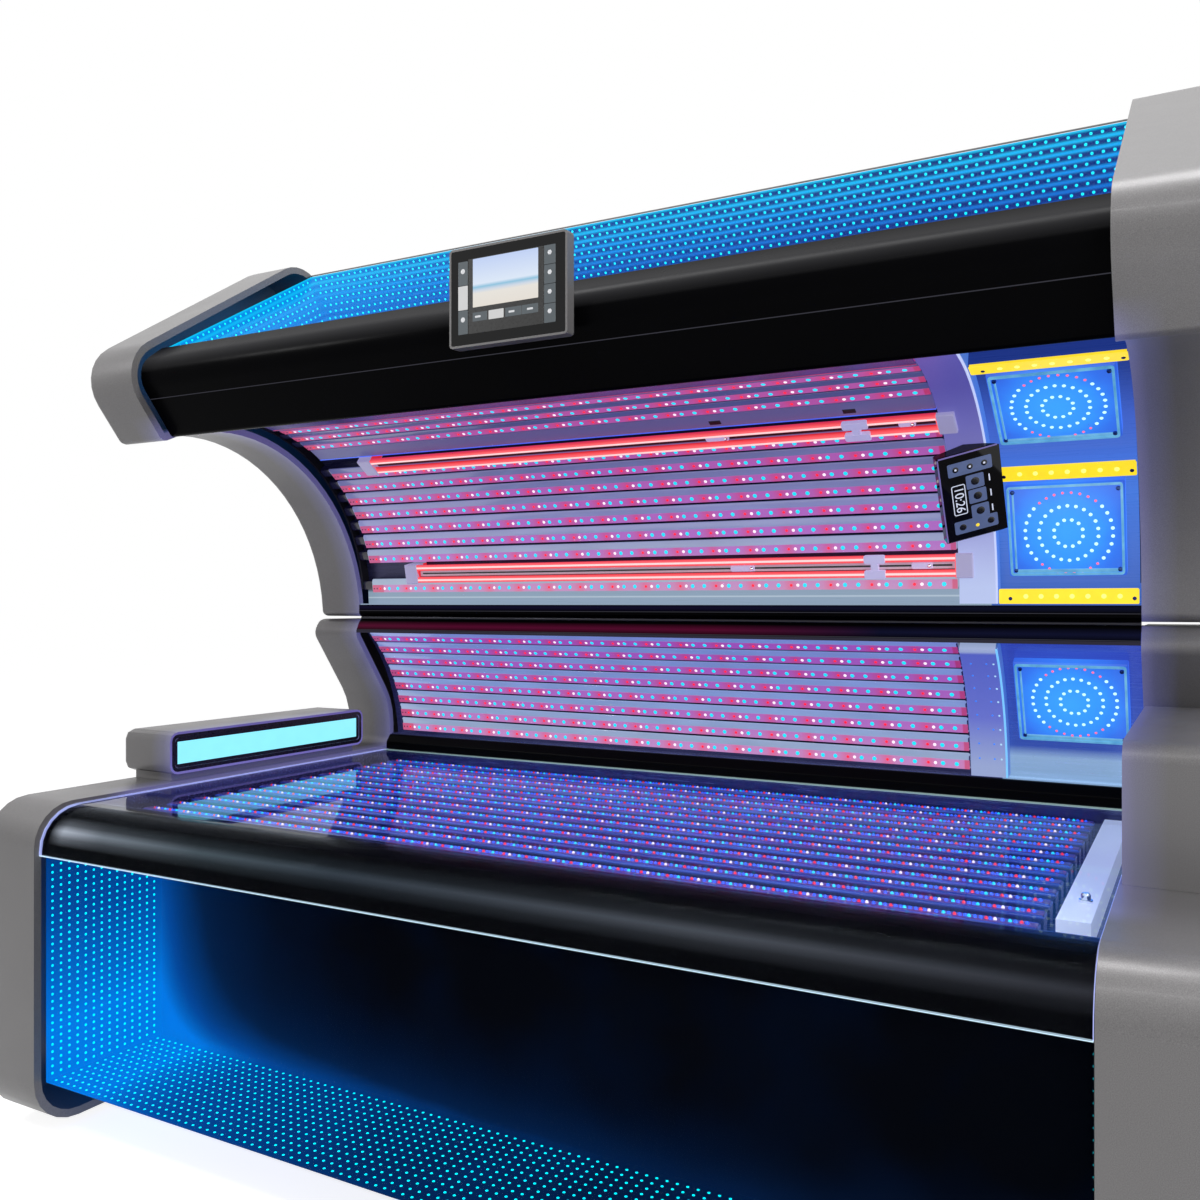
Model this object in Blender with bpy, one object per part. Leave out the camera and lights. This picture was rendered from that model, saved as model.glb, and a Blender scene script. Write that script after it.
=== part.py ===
"""Tanning bed: a lamp bench, a side lamp wall and a canopy that swings down on a rear hinge.

Metres, +Z up. +X points to the head end and -Y to the front, where the user lies down.
The origin is on the floor under the middle of the bed, and the canopy stands open.
Outlines are (y, z) points of the cross-section, carried along X unless said otherwise.
"""
import math

import bmesh
import bpy
from mathutils import Matrix, Vector

# Fits
FIT = 0.0003                    # between faces that touch
END_PLAY = 0.0005               # at each end of what stands between two end caps
ARC_STEP = 15.0                 # degrees of a corner arc in one facet
FACET = 5.0                     # degrees of a reflector arc in one facet
COARSE_STEP = 45.0              # degrees in one facet of small corners
GROOVE_STEP = 30.0              # degrees in one facet of the hinge groove
SMOOTH_ANGLE = 30.0             # flatter edges than this are shaded smooth
SIDES = 16                      # facets of round bodies
SMALL_SIDES = 10
FINE_SIDES = 24

# Overall sizes
INNER_LENGTH = 1.950            # clear length between the end caps
BASE_CAP_WIDTH = 0.160
CANOPY_CAP_WIDTH = 0.145
FRONT = -0.710
BACK = 0.710
CAP_FLOOR = 0.025               # underside of the base end caps
DECK = 0.682                    # top of the base end caps beside the bench
WALL_HEIGHT = 0.3645            # side wall above the deck
SEAM = 0.008                    # open line between base and canopy

# End caps
CAP_RIM = 0.016
CAP_PLATE = 0.006
CAP_EDGE = 0.014                # rounding of the outer edge
EDGE_SHARES = (0.0, 0.35, 0.70, 1.0)  # of that quarter round, where it has a loop
TOE_RADIUS = 0.100
DECK_RADIUS = 0.085
HEEL_RADIUS = 0.060
WALL_FOOT = 0.387               # where the side wall rises from the deck
WALL_FILLET = 0.030
WALL_BEND = 0.118               # height of the bend above the deck
WALL_SWEEP = 0.170
WALL_LEAN = 0.117               # hinge axis ahead of the wall's foot
NOSE_REACH = 0.031
NOSE_DROP = 0.0435
NOSE_RADIUS = 0.030
REAR_TOP = 0.540
REAR_DROP = 0.042               # where the back starts to lean in, under the deck
REAR_RADIUS = 0.080

WALL_TOP = DECK + WALL_HEIGHT
REAR_BREAK = DECK - REAR_DROP
HINGE_Y = WALL_FOOT - WALL_LEAN
HINGE_Z = WALL_TOP + SEAM / 2
INNER_HALF = INNER_LENGTH / 2
SPAN = INNER_HALF - END_PLAY    # half length of what stands between the caps
FLAT = math.cos(math.radians(FACET / 2))  # middle of a facet beside its corners

# Canopy section, chained from the tunnel arc
TUNNEL_RADIUS = 0.460
TUNNEL_SETBACK = 0.010          # arc ahead of the hinge axis
TUNNEL_DROP = 0.0105            # arc centre under the hinge axis
ARC_FOOT = 4.4                  # degrees
ARC_LIP = 109.5
LIP_STEP = (-0.045, -0.020)
NOSE_STEP = (-0.1255, 0.1626)
CREST_STEP = (0.5525, 0.3604)
LIP_RADIUS = 0.018
CANOPY_NOSE_RADIUS = 0.093
CREST_RADIUS = 0.100
CANOPY_FOOT_RADIUS = 0.018
SHOULDER = (0.060, 0.7495)      # from the hinge axis
SHOULDER_RADIUS = 0.200
BACK_BEND = (0.235, 0.400)
BACK_BEND_RADIUS = 0.300
CANOPY_DEPTH = 0.250            # behind the hinge axis

TUNNEL = Vector((HINGE_Y - TUNNEL_RADIUS - TUNNEL_SETBACK, HINGE_Z - TUNNEL_DROP))
CANOPY_FLOOR = WALL_TOP + SEAM

# Panels and covers
COVER_INSET = 0.010             # rear covers inside the cap outline
COVER_WALL = 0.004
GLASS = 0.004
BOX_WALL = 0.003
PANEL_SETBACK = 0.022           # front mirror behind the cap front
PANEL_FLOOR = 0.119
PANEL_DROP = 0.101              # panel's top under the deck
LIGHT_BOX_DEPTH = 0.282
CANOPY_BOX_DEPTH = 0.125
MIRROR_RISE = 31.3              # degrees of the canopy mirror's slope
MIRROR_LENGTH = 0.547
MIRROR_GAP = 0.0009             # to the front rail
VENT_COUNT = 9
VENT_PITCH = 0.022
VENT_LENGTH = 0.340
VENT_HEIGHT = 0.009
VENT_RADIUS = 0.004
VENT_FLOOR = 0.150
GLAND_INSET = 0.122             # from the head end cap
GLAND_RADIUS = 0.016
GLAND_BORE = 0.006

PANEL_TOP = DECK - PANEL_DROP
GLAND_X = INNER_HALF - GLAND_INSET

# Bench
ACRYLIC = 0.006
ACRYLIC_DROP = 0.007            # acrylic under the deck
ACRYLIC_FRONT = -0.700
ACRYLIC_REAR = 0.362
ACRYLIC_END_GAP = 0.002
BUMPER_WALL = 0.014
BUMPER_REACH = 0.104            # bumper's top behind the acrylic front
TRAY_WALL = 0.004
TRAY_FRONT = -0.582
TRAY_DROP = 0.071               # tray floor under the deck
BENCH_LAMPS = 14
BENCH_LAMP_FOOT_GAP = 0.045     # from the foot end cap
BENCH_LAMP_HEAD_GAP = 0.090     # from the head end cap
HEAD_STRIP_INSET = 0.070        # from the head end cap
HEAD_STRIP_WIDTH = 0.045
HEAD_STRIP_FRONT = -0.465
HEAD_STRIP_REAR = 0.330
HEAD_STRIP_DROP = 0.027         # strip under the deck
NOZZLE_INSET = 0.042            # from the head end cap
NOZZLE_Y = -0.352
NOZZLE_RADIUS = 0.010
NOZZLE_COLLAR = 0.0035
NOZZLE_NECK_RADIUS = 0.007
NOZZLE_TIP_RADIUS = 0.005
NOZZLE_TAPER = 0.003
LEDGE_FRONT = 0.372             # black ledge under the side lamps
LEDGE_DEPTH = 0.060
LEDGE_RISE = 0.032              # ledge above the deck
LEDGE_CHAMFER = (0.015, 0.020)
LEDGE_RADIUS = 0.0075

ACRYLIC_TOP = DECK - ACRYLIC_DROP
TRAY_FLOOR = DECK - TRAY_DROP
HEAD_STRIP_TOP = DECK - HEAD_STRIP_DROP
LEDGE_TOP = DECK + LEDGE_RISE
BENCH_LAMP_FOOT_END = -INNER_HALF + BENCH_LAMP_FOOT_GAP
BENCH_LAMP_HEAD_END = INNER_HALF - BENCH_LAMP_HEAD_GAP
HEAD_STRIP_START = INNER_HALF - HEAD_STRIP_INSET
NOZZLE_X = INNER_HALF - NOZZLE_INSET

# Lamps
LAMP_WIDTH = 0.036
LAMP_DEPTH = 0.030
LAMP_CORNER = 0.0075
LAMP_FOOT_GAP = 0.043           # from the foot end cap
LAMP_HEAD_GAP = 0.341           # from the head end cap
SOCKET_LENGTH = 0.034
SOCKET_SHARE = 0.72             # socket section beside the lamp section
TRAY_SHEET = 0.003
LAMP_ARC_REACH = 0.4487         # centre of the canopy lamps' arc ahead of the hinge axis
LAMP_ARC_RISE = 0.0322          # and above it
CANOPY_TRAY_RADIUS = 0.47485
FLANGE_REACH = 0.0086           # reflector's foot flange ahead of the hinge axis
TRAY_LIP_ANGLE = 110.0
TRAY_LIP_DEPTH = 0.038
LAMP_ROWS = ((7.23, 1), (17.79, 7), (66.59, 7))  # first angle and number of lamps
LAMP_STEP = 5.55                # degrees
RED_ANGLES = (11.4, 54.7)
RED_FOOT_GAP = 0.175            # from the foot end cap
RED_TUBE_RADIUS = 0.008
RED_TUBE_HALF_PITCH = 0.0161
RED_TUBE_GAP = 0.0008           # to the lamp fronts
RED_HOLDER_LENGTH = 0.040
RED_HOLDER_WIDTH = 0.052
RED_HOLDER_DEPTH = 0.0165
RED_HOLDER_GAP = 0.0013         # to the lamp fronts
RED_HOLDER_EDGE = 0.002
RED_STEM_WIDTH = 0.034
RED_STEM_LEAN = 1.2             # degrees above the pair
RED_END_LENGTH = 0.036          # flat holder over the divider
RED_END_DEPTH = 0.0093
RED_END_LAP = 0.003             # over the tube ends

LAMP_FOOT_END = -INNER_HALF + LAMP_FOOT_GAP
LAMP_HEAD_END = INNER_HALF - LAMP_HEAD_GAP
RED_START = -INNER_HALF + RED_FOOT_GAP

# Side lamp wall
SIDE_SETBACK = 0.4329           # arc centre ahead of the wall's foot
SIDE_DROP = 0.0042              # arc centre under the deck
SIDE_TRAY_RADIUS = 0.4713
SIDE_TRAY_TOP_ANGLE = 48.6
SIDE_LAMPS = 8
SIDE_LAMP_FIRST = 9.0
SIDE_LAMP_STEP = 5.3575

# Head end
DIVIDER_INSET = 0.338           # from the head end cap
DIVIDER_WIDTH = 0.075
DIVIDER_DEPTH = 0.037
DIVIDER_LIP_ANGLE = 104.0
SIDE_DIVIDER_LIP_ANGLE = 47.0
FACE_LIGHT_INSET = 0.133        # middle, from the head end cap
FACE_LIGHT_WIDTH = 0.215
FACE_LIGHT_HEIGHT = 0.190
FACE_LIGHT_DEPTH = 0.026
FACE_LIGHT_EDGE = 0.003
FACE_LIGHT_ANGLES = (20.1, 56.5)
SIDE_FACE_LIGHT_ANGLE = 28.0
SIDE_FACE_LIGHT_HEIGHT = 0.190
SIDE_FACE_LIGHT_DEPTH = 0.020
GLOW_BAR_ANGLES = (2.8, 35.9, 73.1)
GLOW_BAR_LENGTH = 0.258
GLOW_BAR_WIDTH = 0.030
GLOW_BAR_DEPTH = 0.034
CONSOLE_GAP = 0.004             # from the head end cap's inner edge
CONSOLE_FRONT = -0.330
CONSOLE_REAR = 0.312
CONSOLE_HEIGHT = 0.208
CONSOLE_RADIUS = 0.030

DIVIDER_START = INNER_HALF - DIVIDER_INSET
FACE_LIGHT_X = INNER_HALF - FACE_LIGHT_INSET
CONSOLE_START = INNER_HALF + CONSOLE_GAP
CONSOLE_TOP = DECK + CONSOLE_HEIGHT

# Control panels
PANEL_INSET = 0.2918            # middle, from the head end cap
PANEL_ANGLE = 34.0
PANEL_WIDTH = 0.122
PANEL_HEIGHT = 0.1913
PANEL_DEPTH = 0.020             # of the plate
PANEL_TOE = 0.005               # head edge over the divider
PANEL_TURN = 28.0               # degrees the plate faces to the head end
PANEL_FOOT = 0.040              # foot's width on the divider
PANEL_EDGE = 0.003
DISPLAY_X = 0.019
DISPLAY_WIDTH = 0.246
DISPLAY_LIFT = 0.0328           # middle above the rail's foremost line
DISPLAY_HEIGHT = 0.177
DISPLAY_GAP = 0.0383            # front ahead of the rail
DISPLAY_DEPTH = 0.022
DISPLAY_BEZEL = 0.004
DISPLAY_RADIUS = 0.006
DISPLAY_NECK_WIDTH = 0.090
DISPLAY_NECK_HEIGHT = 0.040

# Front rail of the canopy, from the cap's lip and nose
RAIL_WALL = 0.012
RAIL_TOP_STEP = (0.0775, 0.0600)
RAIL_NOSE_INSET = (0.045, -0.0116)
RAIL_NOSE_RADIUS = 0.055
RAIL_FOOT_STEP = (0.025, 0.013)
RAIL_TAIL_STEP = (0.027, 0.010)

# Lit sign box on the foot end cap
SIGN_FRONT = -0.379
SIGN_LENGTH = 0.650
SIGN_GAP = 0.017                # above the deck
SIGN_HEIGHT = 0.097
SIGN_RADIUS = 0.022
SIGN_RIM = 0.014
SIGN_POCKET = 0.010
SIGN_LENS = 0.006
SIGN_FOOT_INSET = 0.020

SIGN_FLOOR = DECK + SIGN_GAP

# Hinge
HINGE_ROD_RADIUS = 0.006
HINGE_ROD_PLAY = 0.0003
HINGE_RAIL_FRONT = 0.014        # rail face ahead of the axis
HINGE_RAIL_REAR = 0.090         # rail back behind the axis
LOWER_RAIL_HEIGHT = 0.012
UPPER_RAIL_HEIGHT = 0.0315
HINGE_CHAMFER = 0.008
FASCIA_REACH = 0.0255           # lower rail's fascia ahead of the axis
FASCIA_DROP = 0.037             # fascia's foot under the seam
FASCIA_BEND = 0.0305            # fascia's bend under the seam
FASCIA_SHEET = 0.003

# Lift actuator, from the hinge axis
CRANK = (0.170, 0.1095)         # canopy pin
ANCHOR = (0.310, -0.5705)       # base pin
ANCHOR_PIN_RADIUS = 0.008
ANCHOR_EYE_RADIUS = 0.020
ANCHOR_EAR_RADIUS = 0.018
CRANK_PIN_RADIUS = 0.006
CRANK_PLAY = 0.0042             # eye radius over the pin
CRANK_SHIFT = (0.00215, 0.00325)  # eye centre from the pin, where the linkage is opened
CRANK_EYE_WALL = 0.008
CRANK_EAR_RADIUS = 0.014
CRANK_ROOT_DEPTH = 0.030        # ear roots inside the rail's back
CRANK_ROOT_INSET = 0.004
EYE_WIDTH = 0.048
EAR = 0.008
EAR_GAP = 0.0005
EAR_TIP = (0.8, 0.5)            # ear tip ahead of and beside its pin, in ear radii
TUBE_RADIUS = 0.022
BORE_RADIUS = 0.0105
ROD_RADIUS = 0.0100
TUBE_LENGTH = 0.500
BORE_START = 0.060
ROD_START = 0.100

# Frame, feet and inner units
BEAM = 0.040
POST_INSET = 0.045              # from the end caps
FRAME_FLOOR = 0.028
POST_TOP_GAP = 0.0008
REAR_POST = 0.500
MID_BEAM_DROP = 0.040           # under the actuator's base pin
CROSS_SHARE = 0.154             # cross beams from the middle, in inner lengths
FOOT_RADIUS = 0.035
BLOWER_Y = 0.060
BLOWER_SIDE = 0.320
BLOWER_DEPTH = 0.170
BLOWER_RADIUS = 0.135
BLOWER_WALL = 0.008
SHAFT_RADIUS = 0.008
ROTOR_RADIUS = 0.125
ROTOR_LENGTH = 0.130
ROTOR_HUB = 0.024
ROTOR_BLADES = 12
BLADE_ROOT_ANGLE = 9.0          # degrees on each side of a blade's root
BLADE_TIP_ANGLE = 3.0
SUPPLY_LENGTH = 0.420
SUPPLY_WIDTH = 0.240
SUPPLY_HEIGHT = 0.120
SUPPLY_EDGE = 0.008

POST_X = INNER_HALF - POST_INSET
CROSS_X = CROSS_SHARE * INNER_LENGTH
BLOWER_X = -CROSS_X

for old in list(bpy.data.objects):
    bpy.data.objects.remove(old)


# Materials

def finish(name, colour, roughness, metallic=0.0):
    """A plain Principled finish."""
    material = bpy.data.materials.new(name)
    material.use_nodes = True
    shader = material.node_tree.nodes["Principled BSDF"]
    shader.inputs["Base Color"].default_value = (*colour, 1.0)
    shader.inputs["Roughness"].default_value = roughness
    shader.inputs["Metallic"].default_value = metallic
    return material


SILVER = finish("silver_paint", (0.42, 0.40, 0.41), 0.38, 0.6)
BLACK = finish("black_gloss", (0.012, 0.013, 0.016), 0.18)
STEEL = finish("painted_steel", (0.20, 0.21, 0.22), 0.45, 0.7)
CHROME = finish("chrome", (0.80, 0.81, 0.83), 0.08, 1.0)
MIRROR = finish("mirror_glass", (0.02, 0.10, 0.22), 0.05)
BLUE_BOX = finish("blue_light_box", (0.02, 0.20, 0.55), 0.40)
REFLECTOR = finish("reflector", (0.55, 0.62, 0.80), 0.25, 0.5)
LAMP = finish("lamp_tube", (0.72, 0.45, 0.68), 0.25)
RED_LAMP = finish("red_lamp", (0.85, 0.22, 0.20), 0.25)
FACE_LIGHT = finish("face_light", (0.05, 0.30, 0.85), 0.20)
PALE = finish("pale_plastic", (0.62, 0.64, 0.78), 0.40)
CLEAR = finish("clear_acrylic", (0.75, 0.85, 0.92), 0.04)
CYAN = finish("lit_lens", (0.25, 0.80, 0.95), 0.20)
RUBBER = finish("rubber", (0.03, 0.03, 0.03), 0.80)


# Outlines

def rounded(corners, step=ARC_STEP):
    """Closed outline through the corners (y, z, radius), each rounded by an arc."""
    count = len(corners)
    points = []
    for i, corner in enumerate(corners):
        points += corner_arc(corners[i - 1], corner, corners[(i + 1) % count], step)
    return points


def path(corners):
    """Open line through the corners, rounded between its two ends."""
    points = [Vector(corners[0][:2])]
    for before, corner, after in zip(corners, corners[1:], corners[2:]):
        points += corner_arc(before, corner, after)
    return points + [Vector(corners[-1][:2])]


def corner_arc(before, corner, after, step=ARC_STEP):
    """Points of the arc that rounds one corner."""
    here = Vector(corner[:2])
    radius = corner[2]
    if radius == 0:
        return [here]
    back = (Vector(before[:2]) - here).normalized()
    ahead = (Vector(after[:2]) - here).normalized()
    half = back.angle(ahead) / 2
    centre = here + (back + ahead).normalized() * radius / math.sin(half)
    start = here + back * radius / math.tan(half) - centre
    turn = math.pi - 2 * half
    if back.cross(ahead) > 0:
        turn = -turn
    steps = max(2, math.ceil(abs(math.degrees(turn)) / step))
    return [centre + turned_by(start, turn * k / steps) for k in range(steps + 1)]


def turned_by(vector, angle):
    """A plane vector turned about the origin."""
    c, s = math.cos(angle), math.sin(angle)
    return Vector((c * vector.x - s * vector.y, s * vector.x + c * vector.y))


def arc(centre, radius, first, last, step=FACET):
    """Points of an arc between two angles in degrees."""
    steps = max(1, math.ceil(abs(last - first) / step))
    angles = [math.radians(first + (last - first) * k / steps) for k in range(steps + 1)]
    return [centre + radius * Vector((math.cos(a), math.sin(a))) for a in angles]


def offset(points, distance, closed=False):
    """The line moved to its left by a distance, with mitred corners."""
    count = len(points)
    moved = []
    for i, point in enumerate(points):
        before = points[i - 1] if closed or i > 0 else None
        after = points[(i + 1) % count] if closed or i < count - 1 else None
        sides = []
        if before is not None:
            sides.append((point - before).normalized())
        if after is not None:
            sides.append((after - point).normalized())
        normals = [Vector((-side.y, side.x)) for side in sides]
        middle = sum(normals, Vector((0, 0))).normalized()
        moved.append(point + middle * distance / middle.dot(normals[0]))
    return moved


def inset(outline, distance):
    """A closed outline drawn in by a distance, whichever way round it runs."""
    area = sum(a.cross(b) for a, b in zip(outline, outline[1:] + outline[:1]))
    return offset(outline, distance if area > 0 else -distance, closed=True)


def band(line, thickness):
    """Closed outline of a sheet whose left face is the line."""
    return line + offset(line, -thickness)[::-1]


def rectangle(width, height, radius=0.0):
    """Centred rectangle with corners rounded in coarse steps."""
    w, h = width / 2, height / 2
    return rounded([(-w, -h, radius), (w, -h, radius), (w, h, radius), (-w, h, radius)], COARSE_STEP)


# Solids

def solid(name, bm, material):
    """Turns a bmesh into a named object with smooth round faces."""
    mesh = bpy.data.meshes.new(name)
    bm.to_mesh(mesh)
    bm.free()
    mesh.shade_smooth()
    mesh.set_sharp_from_angle(angle=math.radians(SMOOTH_ANGLE))
    mesh.materials.append(material)
    obj = bpy.data.objects.new(name, mesh)
    bpy.context.scene.collection.objects.link(obj)
    return obj


def skin(bm, loops):
    """Adds the closed body that joins equal loops in order, with both ends filled."""
    rings = [[bm.verts.new(point) for point in loop] for loop in loops]
    for near, far in zip(rings, rings[1:]):
        for i in range(len(near)):
            j = (i + 1) % len(near)
            bm.faces.new((near[i], near[j], far[j], far[i]))
    bm.faces.new(rings[0])
    bm.faces.new(rings[-1])


def loft(name, loops, material):
    """One closed solid through a row of equal loops."""
    bm = bmesh.new()
    skin(bm, loops)
    bmesh.ops.recalc_face_normals(bm, faces=bm.faces)
    return solid(name, bm, material)


def at_x(outline, x):
    """A (y, z) outline set on the plane of one x."""
    return [Vector((x, point.x, point.y)) for point in outline]


def prism(name, outline, start, end, material):
    """A (y, z) outline carried along X."""
    return loft(name, [at_x(outline, start), at_x(outline, end)], material)


def block(name, low, high, material):
    """A plain box between two corners."""
    outline = [Vector((low[1], low[2])), Vector((high[1], low[2])),
               Vector((high[1], high[2])), Vector((low[1], high[2]))]
    return prism(name, outline, low[0], high[0], material)


def blocks(name, boxes, material):
    """Several separate boxes in one mesh, used to join or to cut."""
    bm = bmesh.new()
    for loops in boxes:
        skin(bm, loops)
    bmesh.ops.recalc_face_normals(bm, faces=bm.faces)
    return solid(name, bm, material)


def turned(name, foot, direction, stations, material, sides=SIDES):
    """A round body: circles of (distance, radius) along a direction from its foot."""
    direction = Vector(direction).normalized()
    across = direction.orthogonal().normalized()
    beside = direction.cross(across)
    loops = []
    for distance, radius in stations:
        angles = [2 * math.pi * k / sides for k in range(sides)]
        middle = Vector(foot) + direction * distance
        loops.append([middle + radius * (math.cos(a) * across + math.sin(a) * beside) for a in angles])
    return loft(name, loops, material)


def bar(name, foot, direction, length, radius, material, sides=SIDES):
    """A plain round bar from its foot."""
    return turned(name, foot, direction, [(0, radius), (length, radius)], material, sides)


def across(half_x, near, far):
    """A rectangle across the bed's length between two (y, z) points."""
    corners = ((-half_x, near), (half_x, near), (half_x, far), (-half_x, far))
    return [Vector((x, *point)) for x, point in corners]


def combine(target, others, operation="UNION"):
    """Joins other solids to the target, or cuts them from it, and removes them."""
    for other in others:
        modifier = target.modifiers.new("combine", "BOOLEAN")
        modifier.operation = operation
        modifier.solver = "EXACT"
        modifier.object = other
        depsgraph = bpy.context.evaluated_depsgraph_get()
        mesh = bpy.data.meshes.new_from_object(target.evaluated_get(depsgraph))
        target.modifiers.clear()
        target.data = mesh
        bpy.data.objects.remove(other)
    return target


def pivot(name, place):
    """An empty on a joint's axis."""
    empty = bpy.data.objects.new(name, None)
    empty.location = place
    bpy.context.scene.collection.objects.link(empty)
    return empty


def hang(empty, *pieces):
    """Parents pieces to a joint's empty, and leaves them where they are."""
    for piece in pieces:
        piece.parent = empty
        piece.matrix_parent_inverse = Matrix.Translation(empty.location).inverted()


def end_cap(name, outline, width, side, material=SILVER):
    """A hollow cap, open to the inside, with a rounded outer edge."""
    lip = side * INNER_HALF
    outer = lip + side * width
    inner = inset(outline, CAP_RIM)
    loops = [at_x(inner, outer - side * CAP_PLATE), at_x(inner, lip), at_x(outline, lip)]
    return loft(name, loops + round_edge(outline, outer, side), material)


def round_edge(outline, outer, side):
    """Loops of an outline that draws in on a quarter round at its outer end."""
    loops = []
    for share in EDGE_SHARES:
        angle = share * math.pi / 2
        drawn = inset(outline, CAP_EDGE * (1 - math.cos(angle))) if share else outline
        loops.append(at_x(drawn, outer - side * CAP_EDGE * (1 - math.sin(angle))))
    return loops


class Plane:
    """A flat place on an arc: x to the right, v along the arc, n towards the arc's centre."""

    def __init__(self, centre, distance, degrees, x):
        a = math.radians(degrees)
        self.n = Vector((0, -math.cos(a), -math.sin(a)))
        self.u = Vector((1, 0, 0))
        self.v = Vector((0, -math.sin(a), math.cos(a)))
        self.origin = Vector((x, centre.x, centre.y)) - self.n * distance

    def loop(self, outline, height):
        """A flat outline set at a height over the plane."""
        return [self.origin + p.x * self.u + p.y * self.v + height * self.n for p in outline]


def slab(name, plane, outline, depth, edge, material):
    """An outline raised from a plane, with its front edge drawn in."""
    drawn = inset(outline, edge)
    loops = [plane.loop(outline, 0), plane.loop(outline, depth - edge), plane.loop(drawn, depth)]
    return loft(name, loops, material)


# Base shell

base_outline = rounded([
    (FRONT, CAP_FLOOR, TOE_RADIUS),
    (FRONT, DECK, DECK_RADIUS),
    (WALL_FOOT, DECK, WALL_FILLET),
    (WALL_FOOT, DECK + WALL_BEND, WALL_SWEEP),
    (HINGE_Y - NOSE_REACH, HINGE_Z - NOSE_DROP, NOSE_RADIUS),
    (HINGE_Y - HINGE_ROD_RADIUS, WALL_TOP, NOSE_RADIUS),
    (REAR_TOP, WALL_TOP, NOSE_RADIUS),
    (BACK, REAR_BREAK, REAR_RADIUS),
    (BACK, CAP_FLOOR, HEEL_RADIUS),
])
end_cap("base_end_cap_left", base_outline, BASE_CAP_WIDTH, -1)
end_cap("base_end_cap_right", base_outline, BASE_CAP_WIDTH, 1)


def rear_cover():
    """Sheet across the back with rows of air slots and the mains gland."""
    line = path([
        (REAR_TOP - NOSE_RADIUS, WALL_TOP, 0),
        (REAR_TOP, WALL_TOP, NOSE_RADIUS),
        (BACK, REAR_BREAK, REAR_RADIUS),
        (BACK, CAP_FLOOR + HEEL_RADIUS, 0),
    ])
    face = offset(line, -COVER_INSET)
    cover = prism("base_rear_cover", band(face, COVER_WALL), -SPAN, SPAN, SILVER)
    rear = BACK - COVER_INSET
    slots = []
    for x in (-SPAN / 2, SPAN / 2):
        for k in range(VENT_COUNT):
            plane = Plane(Vector((0, VENT_FLOOR + k * VENT_PITCH)), rear - 2 * COVER_WALL, 0, x)
            outline = rectangle(VENT_LENGTH, VENT_HEIGHT, VENT_RADIUS)
            slots.append([plane.loop(outline, 0), plane.loop(outline, -4 * COVER_WALL)])
    combine(cover, [blocks("slots", slots, SILVER)], "DIFFERENCE")
    gland_foot = (GLAND_X, rear - COVER_WALL / 2, VENT_FLOOR)
    gland = bar("gland", gland_foot, (0, 1, 0), COVER_INSET, GLAND_RADIUS, RUBBER, SMALL_SIDES)
    bore_foot = (GLAND_X, rear - 2 * COVER_WALL, VENT_FLOOR)
    bore = bar("bore", bore_foot, (0, 1, 0), 3 * COVER_INSET, GLAND_BORE, RUBBER, SMALL_SIDES)
    combine(cover, [gland])
    combine(cover, [bore], "DIFFERENCE")


rear_cover()

# Front light box and its half mirror

panel_front = FRONT + PANEL_SETBACK
box_front = panel_front + GLASS + FIT
box_back = box_front + LIGHT_BOX_DEPTH


def at_y(half_x, low, high, y):
    """A rectangle across X and Z at one y."""
    return across(half_x, (y, low), (y, high))


block("front_mirror_glass", (-SPAN, panel_front, PANEL_FLOOR), (SPAN, panel_front + GLASS, PANEL_TOP), MIRROR)
loft("front_light_box", [
    at_y(SPAN - BOX_WALL, PANEL_FLOOR + BOX_WALL, PANEL_TOP - BOX_WALL, box_back - BOX_WALL),
    at_y(SPAN - BOX_WALL, PANEL_FLOOR + BOX_WALL, PANEL_TOP - BOX_WALL, box_front),
    at_y(SPAN, PANEL_FLOOR, PANEL_TOP, box_front),
    at_y(SPAN, PANEL_FLOOR, PANEL_TOP, box_back),
], BLUE_BOX)

# Bench

acrylic_line = path([
    (ACRYLIC_REAR, ACRYLIC_TOP, 0),
    (ACRYLIC_FRONT, ACRYLIC_TOP, DECK_RADIUS),
    (ACRYLIC_FRONT, PANEL_TOP, 0),
])
acrylic_half = INNER_HALF - ACRYLIC_END_GAP
acrylic = prism("bench_acrylic", band(acrylic_line, -ACRYLIC), -acrylic_half, acrylic_half, CLEAR)

bumper_top = ACRYLIC_TOP - ACRYLIC - FIT
bumper_front = ACRYLIC_FRONT + ACRYLIC + FIT
bumper_line = path([
    (ACRYLIC_FRONT + BUMPER_REACH, bumper_top, 0),
    (bumper_front, bumper_top, DECK_RADIUS - ACRYLIC),
    (bumper_front, PANEL_TOP + FIT, 0),
])
prism("bench_bumper", band(bumper_line, -BUMPER_WALL), -SPAN, SPAN, BLACK)

tray_rear = LEDGE_FRONT - FIT
tray_top = ACRYLIC_TOP - ACRYLIC - FIT


def at_z(half_x, front, rear, z):
    """A rectangle across X and Y at one height."""
    return across(half_x, (front, z), (rear, z))


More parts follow.
